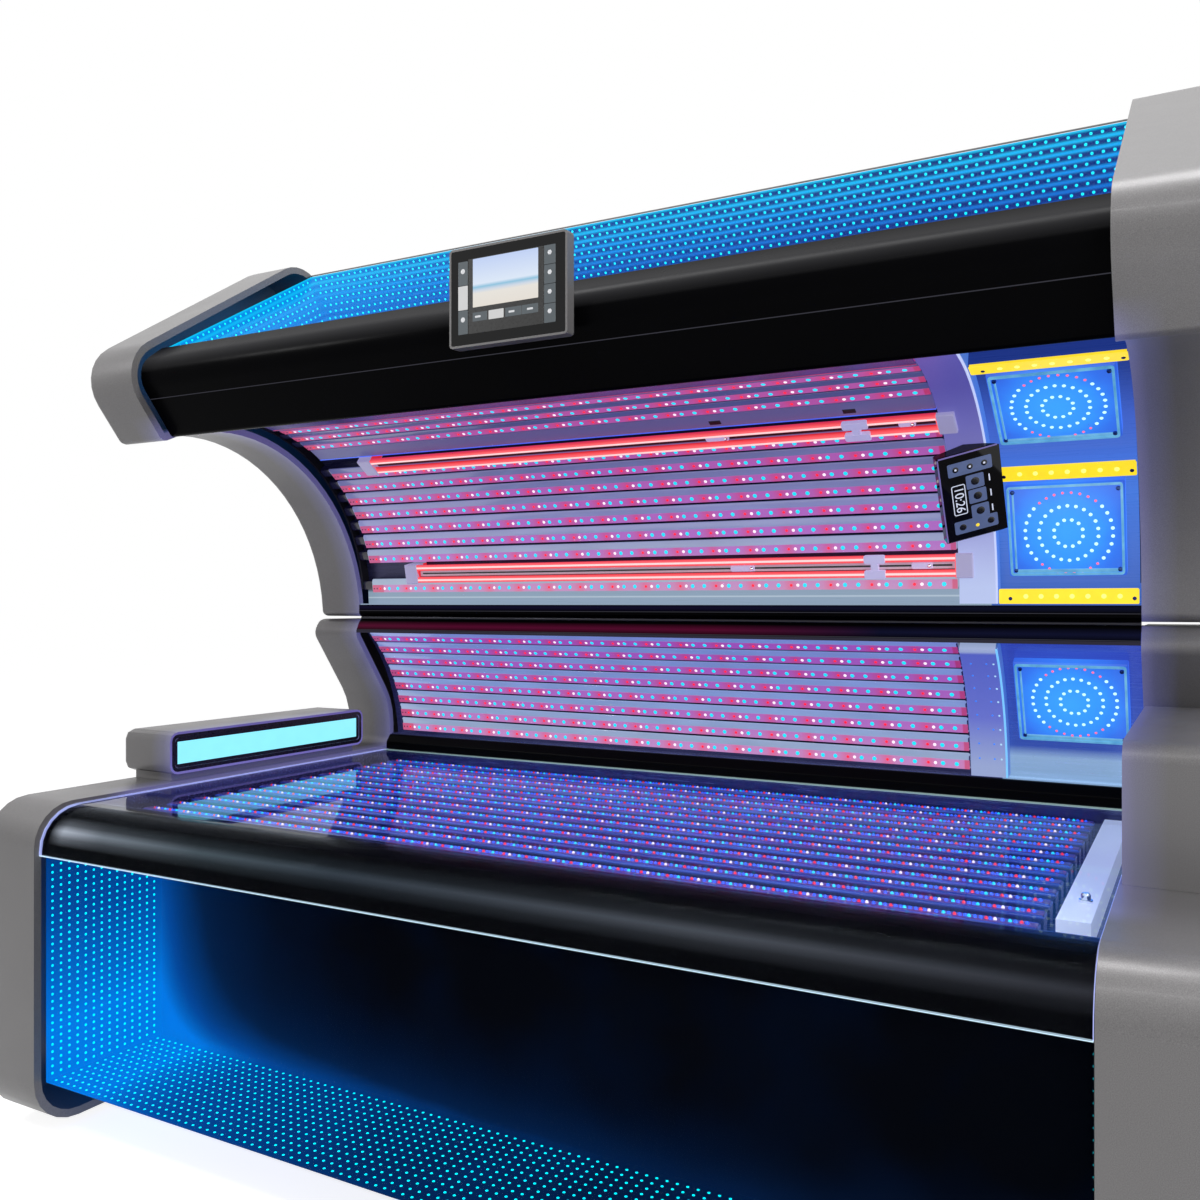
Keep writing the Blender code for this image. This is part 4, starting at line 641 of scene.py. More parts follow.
# Shells
def rounded(width, height, radius, steps=3):
    """Rectangle outline with round corners: four corner centres, each with a quarter circle of points."""
    corner = np.array(((1, 1), (-1, 1), (-1, -1), (1, -1)))
    turn = np.radians(90 * np.arange(4))[:, None] + np.linspace(0, math.pi / 2, steps + 1)
    circle = radius * np.stack((np.cos(turn), np.sin(turn)), axis=-1)
    middle = corner * (np.array((width, height)) / 2 - radius)
    return (middle[:, None] + circle).reshape(-1, 2)


def frame_loop(place, size, border, radius, low, high):
    """Frame: the four edge lines of its section carried around a rounded outline, back to the start."""
    origin, across, up, out = place
    outer = rounded(*size, radius)
    inner = rounded(size[0] - 2 * border, size[1] - 2 * border, max(radius - border, 0.0005))
    outline = np.stack((outer, outer, inner, inner), axis=1)
    lift = np.array((low, high, high, low))[:, None]
    rings = origin + outline[..., :1] * across + outline[..., 1:] * up + lift * out
    return np.concatenate((rings, rings[:1]))[None]


def raised(place, outlines, heights):
    """Shells at places: each ring is an outline in a place's first two directions, lifted along its third."""
    origin, across, up, out = (np.atleast_2d(v)[:, None, None] for v in place)
    flat = np.asarray(outlines)[None]
    lift = np.asarray(heights)[None, :, None, None]
    return origin + flat[..., :1] * across + flat[..., 1:] * up + lift * out


def plates(place, width, height, radius, lift, edge=0.0005, sink=0.0003):
    """Low plates at places: an upright rounded wall, then a chamfer to a smaller rounded top."""
    full = rounded(width, height, radius)
    top = rounded(width - 2 * edge, height - 2 * edge, max(radius - edge, 0.0001))
    return raised(place, (full, full, top), (-sink, lift - edge, lift))


def domes(place, radius, lift, sides=8, sink=0.0004):
    """Low domes at places: circles that shrink as they rise."""
    turn = 2 * math.pi * np.arange(sides) / sides
    circle = radius * np.stack((np.cos(turn), np.sin(turn)), axis=-1)
    return raised(place, (circle, 0.82 * circle, 0.35 * circle), (-sink, 0.6 * lift, lift))


def moved(place, across=0.0, up=0.0, out=0.0):
    """The same place, shifted along its own directions; lists of shifts give all their combinations."""
    origin, *ways = (np.atleast_2d(v) for v in place)
    steps = np.meshgrid(np.arange(len(origin)), across, up, out, indexing="ij")
    which, *shifts = (s.ravel() for s in steps)
    ways = [way[which % len(way)] for way in ways]
    return (origin[which] + sum(s[:, None] * way for s, way in zip(shifts, ways)), *ways)


def on_arc(centre, distance, degrees, x=0.0):
    """Places on a lamp arc: a point, the X direction, the way up the arc and the way to its centre."""
    angle = np.radians(np.atleast_1d(degrees))[:, None]
    out = np.cos(angle) * Y + np.sin(angle) * Z
    up = np.cos(angle) * Z - np.sin(angle) * Y
    origin = np.array((x, *centre)) + distance * out
    return origin, np.broadcast_to(X, out.shape), up, -out


def on_face(node, out, up):
    """Place in the middle of a model node's face that lies furthest out in a direction."""
    mesh = NODES[node].data
    points = np.empty(len(mesh.vertices) * 3)
    mesh.vertices.foreach_get("co", points)
    points = points.reshape(-1, 3)
    reach = points @ out
    face = points[reach > reach.max() - 0.0006]
    middle = (face.min(axis=0) + face.max(axis=0)) / 2
    middle = middle + (reach.max() - middle @ out) * out
    return middle, np.cross(up, out), up, out


def rolled(place, degrees):
    """The same place, turned about its outward direction."""
    origin, across, up, out = place
    cosine, sine = math.cos(math.radians(degrees)), math.sin(math.radians(degrees))
    return origin, cosine * across + sine * up, cosine * up - sine * across, out


def swept_arc(centre, radii, degrees, span):
    """Band along an arc: a rectangle of two radii and two x-places carried through the angles."""
    angle = np.radians(degrees)[:, None]
    radius = np.array((radii[0], radii[1], radii[1], radii[0]))
    x = np.array((span[0], span[0], span[1], span[1]))
    y = centre[0] + radius * np.cos(angle)
    z = centre[1] + radius * np.sin(angle)
    return np.stack((np.broadcast_to(x, y.shape), y, z), axis=-1)[None]


def piece(name, groups, body, finish):
    """Mesh of closed shells: quads from ring to ring, and a face on each end unless the rings come back."""
    points, faces, first = [], [], 0
    for rings in groups if isinstance(groups, list) else [groups]:
        copies, count, sides, _ = rings.shape
        ring, side = np.meshgrid(np.arange(count - 1), np.arange(sides), indexing="ij")
        after = (side + 1) % sides
        low, high = ring * sides, (ring + 1) * sides
        quads = np.stack((low + side, low + after, high + after, high + side), axis=-1).reshape(-1, 4)
        start = first + (np.arange(copies) * count * sides)[:, None, None]
        points += rings.reshape(-1, 3).tolist()
        faces += (start + quads).reshape(-1, 4).tolist()
        if not np.allclose(rings[:, 0], rings[:, -1]):
            ends = np.stack((np.arange(sides)[::-1], np.arange(sides) + (count - 1) * sides))
            faces += (start + ends).reshape(-1, sides).tolist()
        first += copies * count * sides
    mesh = bpy.data.meshes.new(name)
    mesh.from_pydata(points, [], faces)
    return finished(name, mesh, body, finish)


def finished(name, mesh, body, finish):
    """Object for a mesh: faces turned outwards, soft shading, finish and body."""
    shape = bmesh.new()
    shape.from_mesh(mesh)
    bmesh.ops.remove_doubles(shape, verts=shape.verts, dist=1e-6)
    bmesh.ops.recalc_face_normals(shape, faces=shape.faces)
    shape.to_mesh(mesh)
    shape.free()
    mesh.shade_smooth()
    mesh.set_sharp_from_angle(angle=math.radians(35))
    mesh.materials.append(finish.material)
    made = placed(name, mesh)
    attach(made, body)
    return made


def wording(name, text, place, size, body, finish):
    """Raised figures: a font outline with a small thickness, made a mesh and laid on a place."""
    data = bpy.data.curves.new(name, "FONT")
    data.body = text
    data.size = size
    data.extrude = 0.0002
    data.align_x = data.align_y = "CENTER"
    source = bpy.data.objects.new(name + "_outline", data)
    mesh = bpy.data.meshes.new_from_object(source)
    bpy.data.objects.remove(source)
    origin, across, up, out = place
    flat = np.empty(len(mesh.vertices) * 3)
    mesh.vertices.foreach_get("co", flat)
    points = origin + flat.reshape(-1, 3) @ np.stack((across, up, out))
    mesh.vertices.foreach_set("co", points.ravel())
    mesh.name = name
    return finished(name, mesh, body, finish)


# The model's own nodes
def soft_shading():
    """Node group that merges a mesh and shades it softly, except over edges sharper than a limit."""
    group = bpy.data.node_groups.new("soft_shading", "GeometryNodeTree")
    group.interface.new_socket("Geometry", in_out="INPUT", socket_type="NodeSocketGeometry")
    group.interface.new_socket("Geometry", in_out="OUTPUT", socket_type="NodeSocketGeometry")
    start, merge, faces, edges, angle, sharp, end = (group.nodes.new(kind) for kind in (
        "NodeGroupInput", "GeometryNodeMergeByDistance", "GeometryNodeSetShadeSmooth",
        "GeometryNodeSetShadeSmooth", "GeometryNodeInputMeshEdgeAngle", "FunctionNodeCompare",
        "NodeGroupOutput",
    ))
    merge.inputs["Distance"].default_value = 1e-6
    edges.domain = "EDGE"
    edges.inputs["Shade Smooth"].default_value = False
    sharp.operation = "GREATER_THAN"
    sharp.inputs[1].default_value = math.radians(32)
    group.links.new(start.outputs[0], merge.inputs["Geometry"])
    group.links.new(merge.outputs[0], faces.inputs["Geometry"])
    group.links.new(faces.outputs[0], edges.inputs["Geometry"])
    group.links.new(angle.outputs["Unsigned Angle"], sharp.inputs[0])
    group.links.new(sharp.outputs[0], edges.inputs["Selection"])
    group.links.new(edges.outputs[0], end.inputs[0])
    return group


def dress():
    """One finish for each node of the model."""
    silver = silver_paint()
    rail_black = black_gloss("rail_black_satin", low=0.28, high=0.34, specular=0.025)
    screen = black_gloss("screen_black_glass", low=0.03, high=0.06, specular=0.25)
    anodised = metal(
        "black_anodised", (0.035, 0.035, 0.042), low=0.26, high=0.40, scale=300, stretch=(0.05, 1, 1),
        strength=0.05,
    )
    # Painted reflections on the rails: reddish at the lower rail's foot and navy at its head; on the front
    # rail a grey painted highlight.
    grey, navy = (0.034, 0.034, 0.036), (0.004, 0.005, 0.022)
    lower_black = lined_black(
        "lower_rail_black", seam=1.0180, foot_reflection=(0.075, 0.003, 0.022), head_reflection=navy, band=(1.016, 1.042),
        lip=1.0165,
    )
    front_black = lined_black(
        "front_rail_black", seam=1.5440, foot_reflection=grey, head_reflection=grey, band=(1.598, 1.668),
    )
    upper_black = lined_black(
        "upper_rail_black", seam=1.0700, foot_reflection=(0.004, 0.003, 0.018), head_reflection=(0.003, 0.004, 0.016),
        band=(1.070, 1.090),
    )
    chrome = metal(
        "chrome", (0.80, 0.82, 0.85), low=0.05, high=0.12, scale=40, stretch=(1, 1, 1), strength=0.01,
    )
    coated = plastic("grey_powder_coat", (0.16, 0.165, 0.175), low=0.45, high=0.60, scale=700, strength=0.20)
    housing = plastic(
        "dark_moulded_housing", (0.028, 0.03, 0.034), low=0.42, high=0.58, scale=520, strength=0.18,
    )
    rubber = plastic("black_rubber", (0.012, 0.012, 0.013), low=0.62, high=0.80, scale=380, strength=0.25)
    glass = smoked_glass()
    shell = canopy_shell("canopy_lamp_core")
    red = red_tubes()
    by_node = {
        "bench_bumper": bumper_black(), "bench_hinge_rail": rail_black, "canopy_front_rail": front_black,
        "inner_control_panel": screen, "display_glass": screen, "blower_rotor": housing,
        "lower_hinge_rail": lower_black, "upper_hinge_rail": upper_black, "base_frame": coated,
        "lift_actuator_tube": coated, "blower_housing": housing, "power_supply": housing,
        "mist_nozzle": chrome, "hinge_rod": anodised, "lift_actuator_rod": chrome,
        "front_mirror_glass": glass, "canopy_mirror_glass": glass, "front_light_box": front_glow(),
        "canopy_light_box": canopy_glow(), "canopy_lamp_tray": canopy_reflector(),
        "bench_lamp_tray": reflector(
            "bench_reflector", low=(0.001, 0.001, 0.020), high=(0.003, 0.003, 0.035), heights=(0.61, 0.66)),
        "side_lamp_tray": side_reflector(),
        "bench_head_strip": pale_lining("head_strip_white", (0.30, 0.33, 0.42)),
        "side_divider": divider_lining(
            "side_divider_pale", centre=SIDE, front=SIDE_DIVIDER_FRONT, heights=(0.718, 1.005),
            shades=((0.25, 0.32, 0.52), (0.08, 0.11, 0.48), (0.055, 0.085, 0.45), (0.28, 0.35, 0.55)),
            edge=(0.16, 0.55, 0.95), wall=(0.03, 0.10, 0.36)),
        "canopy_divider": divider_lining(
            "canopy_divider_pale", centre=LAMP_ARC, front=DIVIDER_FRONT, heights=(1.09, 1.52),
            shades=((0.40, 0.48, 0.72), (0.24, 0.24, 0.56), (0.05, 0.04, 0.28), (0.05, 0.04, 0.28)),
            edge=(0.50, 0.58, 0.88), wall=(0.05, 0.15, 0.50)),
        "bench_acrylic": clear_acrylic(),
        "sign_lens": glowing("sign_lens_cyan", (0.28, 0.86, 1.0), power=1.0, spread=0.04, scale=30),
        "red_light_pair_lower": red, "red_light_pair_upper": red,
    }
    for node in ("side_face_light", "face_light_lower", "face_light_upper"):
        low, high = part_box(node)
        by_node[node] = face_blue((low + high) / 2)
    shading = soft_shading()
    for name, node in NODES.items():
        node.modifiers.new("soft_shading", "NODES").node_group = shading
        node.modifiers.new("flat_faces", "WEIGHTED_NORMAL").keep_sharp = True
        if name.startswith("canopy_lamp_") and name != "canopy_lamp_tray":
            finish = shell
        elif name.startswith("foot_"):
            finish = rubber
        else:
            finish = by_node.get(name, silver)
        node.data.materials.clear()
        node.data.materials.append(finish.material)


# Lamps
def lights(shares, span):
    """X-places of one kind of light on a lamp: its shares of each period, between the lamp's ends."""
    turns = np.arange(LED_PERIODS)[:, None] + np.array(shares)
    x = (LED_START + LED_PERIOD * turns).ravel()
    return x[(x > span[0] + 0.02) & (x < span[1] - 0.012)]


def lamp_dressing(group, place, body, span, boards, leds, drop, lift):
    """Boards and lights on a set of lamps: a strip on each front, rows of small domes, and two dark studs."""
    place = moved(place, out=SKIN)
    middle, length = sum(span) / 2, span[1] - span[0] - 0.003
    board = moved(place, middle, -BOARD_DROP if drop else 0.0)
    piece(
        group + "_boards", plates(board, width=length, height=BOARD_WIDTH, radius=0.001, lift=BOARD_LIFT),
        body, boards,
    )
    for kind, (finish, shares, radius) in leds.items():
        spots = moved(place, lights(shares, span), -drop, BOARD_LIFT)
        piece(f"{group}_lights_{kind}", domes(spots, radius=radius, lift=lift), body, finish)
    studs = moved(place, (span[0] + 0.007, span[0] + 0.017), -drop, BOARD_LIFT)
    dark = plastic(group + "_stud_dark", (0.02, 0.01, 0.03), low=0.4, high=0.5, scale=500, strength=0.05)
    piece(group + "_studs", domes(studs, radius=0.0022, lift=0.0008, sides=6), body, dark)


def housings(group, place, body, span, width, finish):
    """Clear shells just proud of the lamps: a rounded section carried along X, drawn in at both ends."""
    origin, across, up, out = place
    depth = LAMP_DEPTH - 0.002 + SKIN
    section = rounded(width, depth, 0.002)
    middle = section + (0.0, SKIN - depth / 2)
    small = 0.86 * section + middle.mean(axis=0)
    rings = (small, middle, middle, small)
    heights = (span[0] - SKIN, span[0] + 0.004, span[1] - 0.004, span[1] + SKIN)
    piece(group + "_housings", raised((origin, up, out, across), rings, heights), body, finish)


def lamps():
    """Boards, lights and clear housings of the canopy, side and bench lamps."""
    red = glowing("lamp_light_red", (1.0, 0.02, 0.05), power=1.2)
    white = glowing("lamp_light_white", (1.0, 0.84, 0.95), power=1.2)
    cyan = glowing("lamp_light_cyan", (0.01, 0.74, 1.0), power=1.15)
    blue = glowing("lamp_light_blue", (0.03, 0.12, 1.0), power=1.4)
    pink = (0.50, 0.09, 0.33), (0.42, 0.125, 0.46), (0.38, 0.140, 0.52), (0.44, 0.055, 0.20)
    indigo = (0.03, 0.008, 0.17), (0.008, 0.008, 0.20), (0.008, 0.014, 0.25), (0.02, 0.008, 0.14)
    # Painted shading by height: low, middle and high factors for the boards, then colours for the side
    # housings.
    painted_height_shades = (1.25, 1.9, 0.95), (1.0, 1.0, 1.0), (0.95, 0.50, 0.62)
    canopy_boards = lamp_board("canopy_board_pink", LAMP_SPAN, pink, CANOPY_HEIGHTS, *painted_height_shades)
    painted_height_shades = (1.25, 1.7, 1.0), (1.0, 1.0, 0.95), (0.75, 0.50, 0.85)
    side_boards = lamp_board("side_board_pink", LAMP_SPAN, pink, SIDE_HEIGHTS, *painted_height_shades)
    bench_boards = lamp_board(
        "bench_board_indigo", BENCH_SPAN, indigo, heights=(0.60, 0.70), low=1.0, middle=1.0, high=1.0,
    )
    painted_height_shades = (0.28, 0.36, 0.50), (0.20, 0.29, 0.58), (0.16, 0.22, 0.56)
    side_shell = lamp_shell("side_lamp_clear", SIDE, SIDE_FRONT, SIDE_HEIGHTS, *painted_height_shades)
    wall_lights = {
        "red": (red, (0.0,), 0.0036),
        "white": (white, (0.17,), 0.0040),
        "cyan": (cyan, (0.350, 0.674), 0.0052),
    }
    bench_lights = {
        "red": (red, (0.0, 0.52), 0.0028),
        "white": (white, (0.13,), 0.0028),
        "cyan": (cyan, (0.350, 0.74), 0.0030),
        "blue": (blue, (0.06, 0.24, 0.43, 0.60, 0.68, 0.83, 0.92), 0.0030),
    }
    canopy = on_arc(LAMP_ARC, LAMP_FRONT, LAMP_ANGLES)
    side = on_arc(SIDE, SIDE_FRONT, SIDE_FIRST + SIDE_STEP * np.arange(SIDE_LAMPS))
    y = BENCH_FIRST + BENCH_PITCH * (np.arange(BENCH_LAMPS) + 0.5)
    top = np.stack((np.zeros(BENCH_LAMPS), y, np.full(BENCH_LAMPS, BENCH_TOP)), axis=-1)
    bench = (top, *(np.broadcast_to(way, top.shape) for way in (X, Y, Z)))
    housings("canopy_lamp", canopy, "canopy", LAMP_SPAN, HOUSING_WIDTH, canopy_shell("canopy_lamp_clear"))
    lamp_dressing(
        "canopy_lamp", canopy, "canopy", LAMP_SPAN, canopy_boards, wall_lights, drop=LED_DROP, lift=0.0016,
    )
    housings("side_lamp", side, "base", LAMP_SPAN, SIDE_HOUSING_WIDTH, side_shell)
    lamp_dressing("side_lamp", side, "base", LAMP_SPAN, side_boards, wall_lights, drop=LED_DROP, lift=0.0016)
    housings("bench_lamp", bench, "base", BENCH_SPAN, LAMP_WIDTH + 2 * SKIN, bench_shell())
    lamp_dressing("bench_lamp", bench, "base", BENCH_SPAN, bench_boards, bench_lights, drop=0.0, lift=0.0036)


def red_pairs():
    """On each red pair: bright core lines, a slot strip, clips and an H-shaped bracket."""
    core = glowing("red_tube_core", (1.0, 0.66, 0.66), power=1.0, spread=0.06)
    pale = pale_lining("clip_pale_lilac", (0.26, 0.24, 0.42))
    chrome = metal(
        "clip_ball_chrome", (0.75, 0.76, 0.82), low=0.10, high=0.16, scale=600, stretch=(1, 1, 1),
        strength=0.02,
    )
    grey = pale_lining("tube_slot_grey", (0.14, 0.13, 0.16))
    dark = plastic("tube_slot_dark", (0.008, 0.008, 0.012), low=0.35, high=0.5, scale=400, strength=0.1)
    details = {
        # The lower slot strip glows grey with painted lamp light; the upper one is plain dark.
        "lower": (RED_ANGLES[0], grey, (0.133, 0.190), (0.443, 0.488), (0.541, 0.584)),
        "upper": (RED_ANGLES[1], dark, (0.148, 0.200), (0.449, 0.501), (0.557, 0.590)),
    }
    middle, length = sum(RED_SPAN) / 2, RED_SPAN[1] - RED_SPAN[0]
    tubes = (-RED_HALF_PITCH, RED_HALF_PITCH)
    for name, (angle, slot_finish, clip, bracket, small) in details.items():
        front, slot = (on_arc(LAMP_ARC, distance, angle) for distance in (RED_FRONT, RED_SLOT))
        lines = plates(
            moved(front, middle, tubes), width=length, height=0.0046, radius=0.0020, lift=0.0003, edge=0.0002,
            sink=0.0010,
        )
        piece(f"red_cores_{name}", lines, "canopy", core)
        strip = plates(moved(slot, middle), width=length - 0.004, height=0.0150, radius=0.002, lift=0.0030)
        piece(f"red_slot_{name}", strip, "canopy", slot_finish)
        line = plates(
            moved(slot, middle, 0.0, 0.0030), width=length - 0.02, height=0.0040, radius=0.001, lift=0.0004,
            edge=0.0002,
        )
        piece(f"red_slot_line_{name}", line, "canopy", dark)
        parts = [
            plates(
                moved(slot, sum(ends) / 2, 0.0, 0.0030), width=ends[1] - ends[0], height=0.0140, radius=0.004,
                lift=0.0050, edge=0.001,
            )
            for ends in (clip, small)
        ]
        centre, width = sum(bracket) / 2, bracket[1] - bracket[0]
        parts += [
            plates(
                moved(front, centre, tubes), width=width, height=0.0190, radius=0.004, lift=0.0030,
                edge=0.001, sink=0.006,
            ),
            plates(
                moved(front, centre), width=0.016, height=0.016, radius=0.003, lift=0.0026, edge=0.001,
                sink=0.008,
            ),
        ]
        piece(f"red_clips_{name}", parts, "canopy", pale)
        ball = moved(slot, (clip[1] - 0.006, small[1] - 0.006), 0.0, 0.0080)
        piece(
            f"red_clip_balls_{name}", domes(ball, radius=0.0045, lift=0.0040, sides=12), "canopy", chrome,
        )


def arc_band(name, radius, depth, start, stop, count, finish):
    """Thin band of the canopy arc between two angles, along the lamps."""
    band = swept_arc(LAMP_ARC, (radius, radius + depth), np.linspace(start, stop, count), BAND_SPAN)
    piece(name, band, "canopy", finish)


def upper_band():
    """Flat band above the upper red pair, and a navy strip with a rose line laid over the top lamp row as a
    painted shade sheet.
    """
    lavender = pale_lining("upper_band_lavender", (0.045, 0.045, 0.16), (0.20, 0.20, 0.28))
    blue = glowing("upper_band_line_blue", (0.06, 0.15, 1.0), power=1.0, spread=0.2, scale=40)
    dark = plastic("upper_band_catch", (0.006, 0.006, 0.010), low=0.35, high=0.5, scale=300, strength=0.1)
    # Painted shade: a navy strip with a rose line stands in for the top lamp row in shade.
    navy = glowing("top_strip_navy", (0.028, 0.014, 0.13), power=1.0, spread=0.4, scale=20)
    rose = glowing("top_strip_line_rose", (0.36, 0.04, 0.14), power=1.0, spread=0.4, scale=20)
    arc_band(
        "upper_band", radius=0.4455, depth=0.0045, start=58.4, stop=63.6, count=8, finish=lavender,
    )
    arc_band(
        "upper_band_line", radius=0.4450, depth=0.0045, start=58.05, stop=58.35, count=3, finish=blue,
    )
    catches = moved(on_arc(LAMP_ARC, 0.4455, 60.1), (0.182, 0.468))
    piece(
        "upper_band_catches", plates(catches, width=0.026, height=0.012, radius=0.001, lift=0.0010), "canopy",
        dark,
    )
    arc_band(
        "painted_shade_strip", radius=0.4385, depth=0.0020, start=80.9, stop=86.2, count=8, finish=navy,
    )
    arc_band(
        "top_strip_line", radius=0.4380, depth=0.0020, start=80.45, stop=80.85, count=3, finish=rose,
    )


# Lit panels
def panel_dots():
    """Rows of light dots on the end walls, floor and far wall of the two light boxes."""
    dot = glowing("panel_dot_cyan", (0.0, 0.78, 1.0), power=1.8)
    front_y = np.arange(FRONT_BOX_Y[0] + 0.012, FRONT_BOX_Y[1] - 0.006, DOT_PITCH)
    front_z = np.arange(FRONT_BOX_Z[0] + 0.012, FRONT_BOX_Z[1] - 0.008, DOT_ROW)
    long_x = np.arange(-FRONT_BOX_X + 0.012, FRONT_BOX_X - 0.008, DOT_PITCH)
    rows = CANOPY_ROW_FIRST + CANOPY_ROW_PITCH * np.arange(CANOPY_ROWS)
    steps = np.arange(0.03, GLASS_FAR - 0.008, DOT_PITCH)
    far = (GLASS_EDGE + GLASS_FAR * GLASS_SLOPE, X, GLASS_UNDER, -GLASS_SLOPE)
    front = []
    canopy = [moved(far, long_x, rows[0::2]), moved(far, long_x[:-1] + DOT_PITCH / 2, rows[1::2])]
    for side in (-1, 1):
        end, inward = side * FRONT_BOX_X * X, -side * X
        front.append(moved((end, Y, Z, inward), front_y, front_z))
        canopy.append(moved((GLASS_EDGE + end, GLASS_SLOPE, GLASS_UNDER, inward), steps, rows))
    front.append(moved((FRONT_BOX_Z[0] * Z, X, Y, Z), long_x, front_y))
    for name, body, walls in (("front_panel_dots", "base", front), ("canopy_panel_dots", "canopy", canopy)):
        piece(name, [domes(wall, radius=DOT_RADIUS, lift=DOT_LIFT) for wall in walls], body, dot)


# Head end
def face_lights():
    """On each face light: rings of lights, the outer one in quarters, a clear frame and corner screws."""
    ice = glowing("face_light_ice", (0.58, 0.96, 1.0), power=1.2, spread=0.1)
    pink = glowing("face_light_pink", (1.0, 0.16, 0.30), power=1.1, spread=0.1)
    rim = clear_rim()
    screw = metal(
        "face_light_screw", (0.05, 0.09, 0.26), low=0.25, high=0.4, scale=500, stretch=(1, 1, 1),
        strength=0.05,
    )
    lights_of = {
        "face_light_lower": (LAMP_ARC, 20.1, -0.0064, "canopy"),
        "face_light_upper": (LAMP_ARC, 56.5, -0.0010, "canopy"),
        "side_face_light": (SIDE, 28.0, 0.0040, "base"),
    }
    for node, (centre, angle, lift, body) in lights_of.items():
        _, _, up, out = (v[0] for v in on_arc(centre, 1.0, angle))
        face = on_face(node, out, up)
        place = tuple(v[0] for v in moved(face, 0.0057, lift))
        cool, warm = [], []
        for count, radius in FACE_RINGS:
            turn = 2 * math.pi * (np.arange(count) + 0.5) / count
            spots = radius * np.stack((np.cos(turn), 1.03 * np.sin(turn)), axis=-1)
            outer = (count == FACE_RINGS[-1][0]) & (np.abs(np.sin(turn)) > math.sqrt(0.5))
            for kept, spot, size in ((cool, spots[~outer], 0.0038), (warm, spots[outer], 0.0029)):
                origin = place[0] + spot[:, :1] * place[1] + spot[:, 1:] * place[2]
                kept.append(domes((origin, *place[1:]), radius=size, lift=0.0014))
        piece(node + "_lights", cool, body, ice)
        piece(node + "_lights_warm", [group for group in warm if len(group)], body, pink)
        rims = [
            frame_loop(face, size=(0.209, 0.184), border=0.0045, radius=0.006, low=-0.0005, high=0.0035),
            plates(moved(face, -0.0935), width=0.0035, height=0.165, radius=0.0015, lift=0.0025, edge=0.0008),
            plates(
                moved(face, 0.0, -0.0830), width=0.188, height=0.0070, radius=0.003, lift=0.0030, edge=0.001,
            ),
        ]
        piece(node + "_rim", rims, body, rim)
        corners = moved(face, (-0.0940, 0.0960), (-0.0815, 0.0800), 0.0024)
        piece(
            node + "_screws", domes(corners, radius=0.0046, lift=0.0016, sides=8, sink=0.0028), body, screw,
        )


def amber_bars():
    """On each amber bar: a lit cover, seven bright spots and two screws."""
    amber = glowing("amber_bar_glow", (1.0, 0.74, 0.02), power=1.0, spread=0.06, scale=60)
    spot = glowing("amber_bar_spot", (1.0, 0.95, 0.22), power=1.1, spread=0.05)
    screw = metal(
        "amber_bar_screw", (0.02, 0.03, 0.16), low=0.3, high=0.4, scale=500, stretch=(1, 1, 1), strength=0.05,
    )
    place = on_arc(LAMP_ARC, BAR_FRONT, BAR_ANGLES, BAR_X)
    cover = plates(place, width=0.2575, height=0.0306, radius=0.003, lift=0.0012, edge=0.0006, sink=0.004)
    piece("amber_covers", cover, "canopy", amber)
    spots = moved(place, np.linspace(-0.077, 0.095, 7), 0.0, 0.0012)
    piece("amber_spots", domes(spots, radius=0.0052, lift=0.0010), "canopy", spot)
    heads = moved(place, (-0.1065, 0.1205), -0.0045, 0.0012)
    piece("amber_screws", domes(heads, radius=0.0042, lift=0.0012), "canopy", screw)


def side_divider_lights():
    """Three columns of small lights on the side divider."""
    blue = glowing("divider_light_blue", (0.05, 0.24, 0.95), power=1.1)
    ice = glowing("divider_light_ice", (0.50, 0.82, 1.0), power=1.0)
    rows = on_arc(SIDE, SIDE_DIVIDER_FRONT, np.linspace(10.5, 41.5, 8))
    for name, columns, finish in (("blue", (0.6555, 0.6865), blue), ("ice", (0.7005,), ice)):
        spots = domes(moved(rows, columns), radius=0.0026, lift=0.0008, sides=6, sink=0.0008)
        piece("side_divider_lights_" + name, spots, "base", finish)


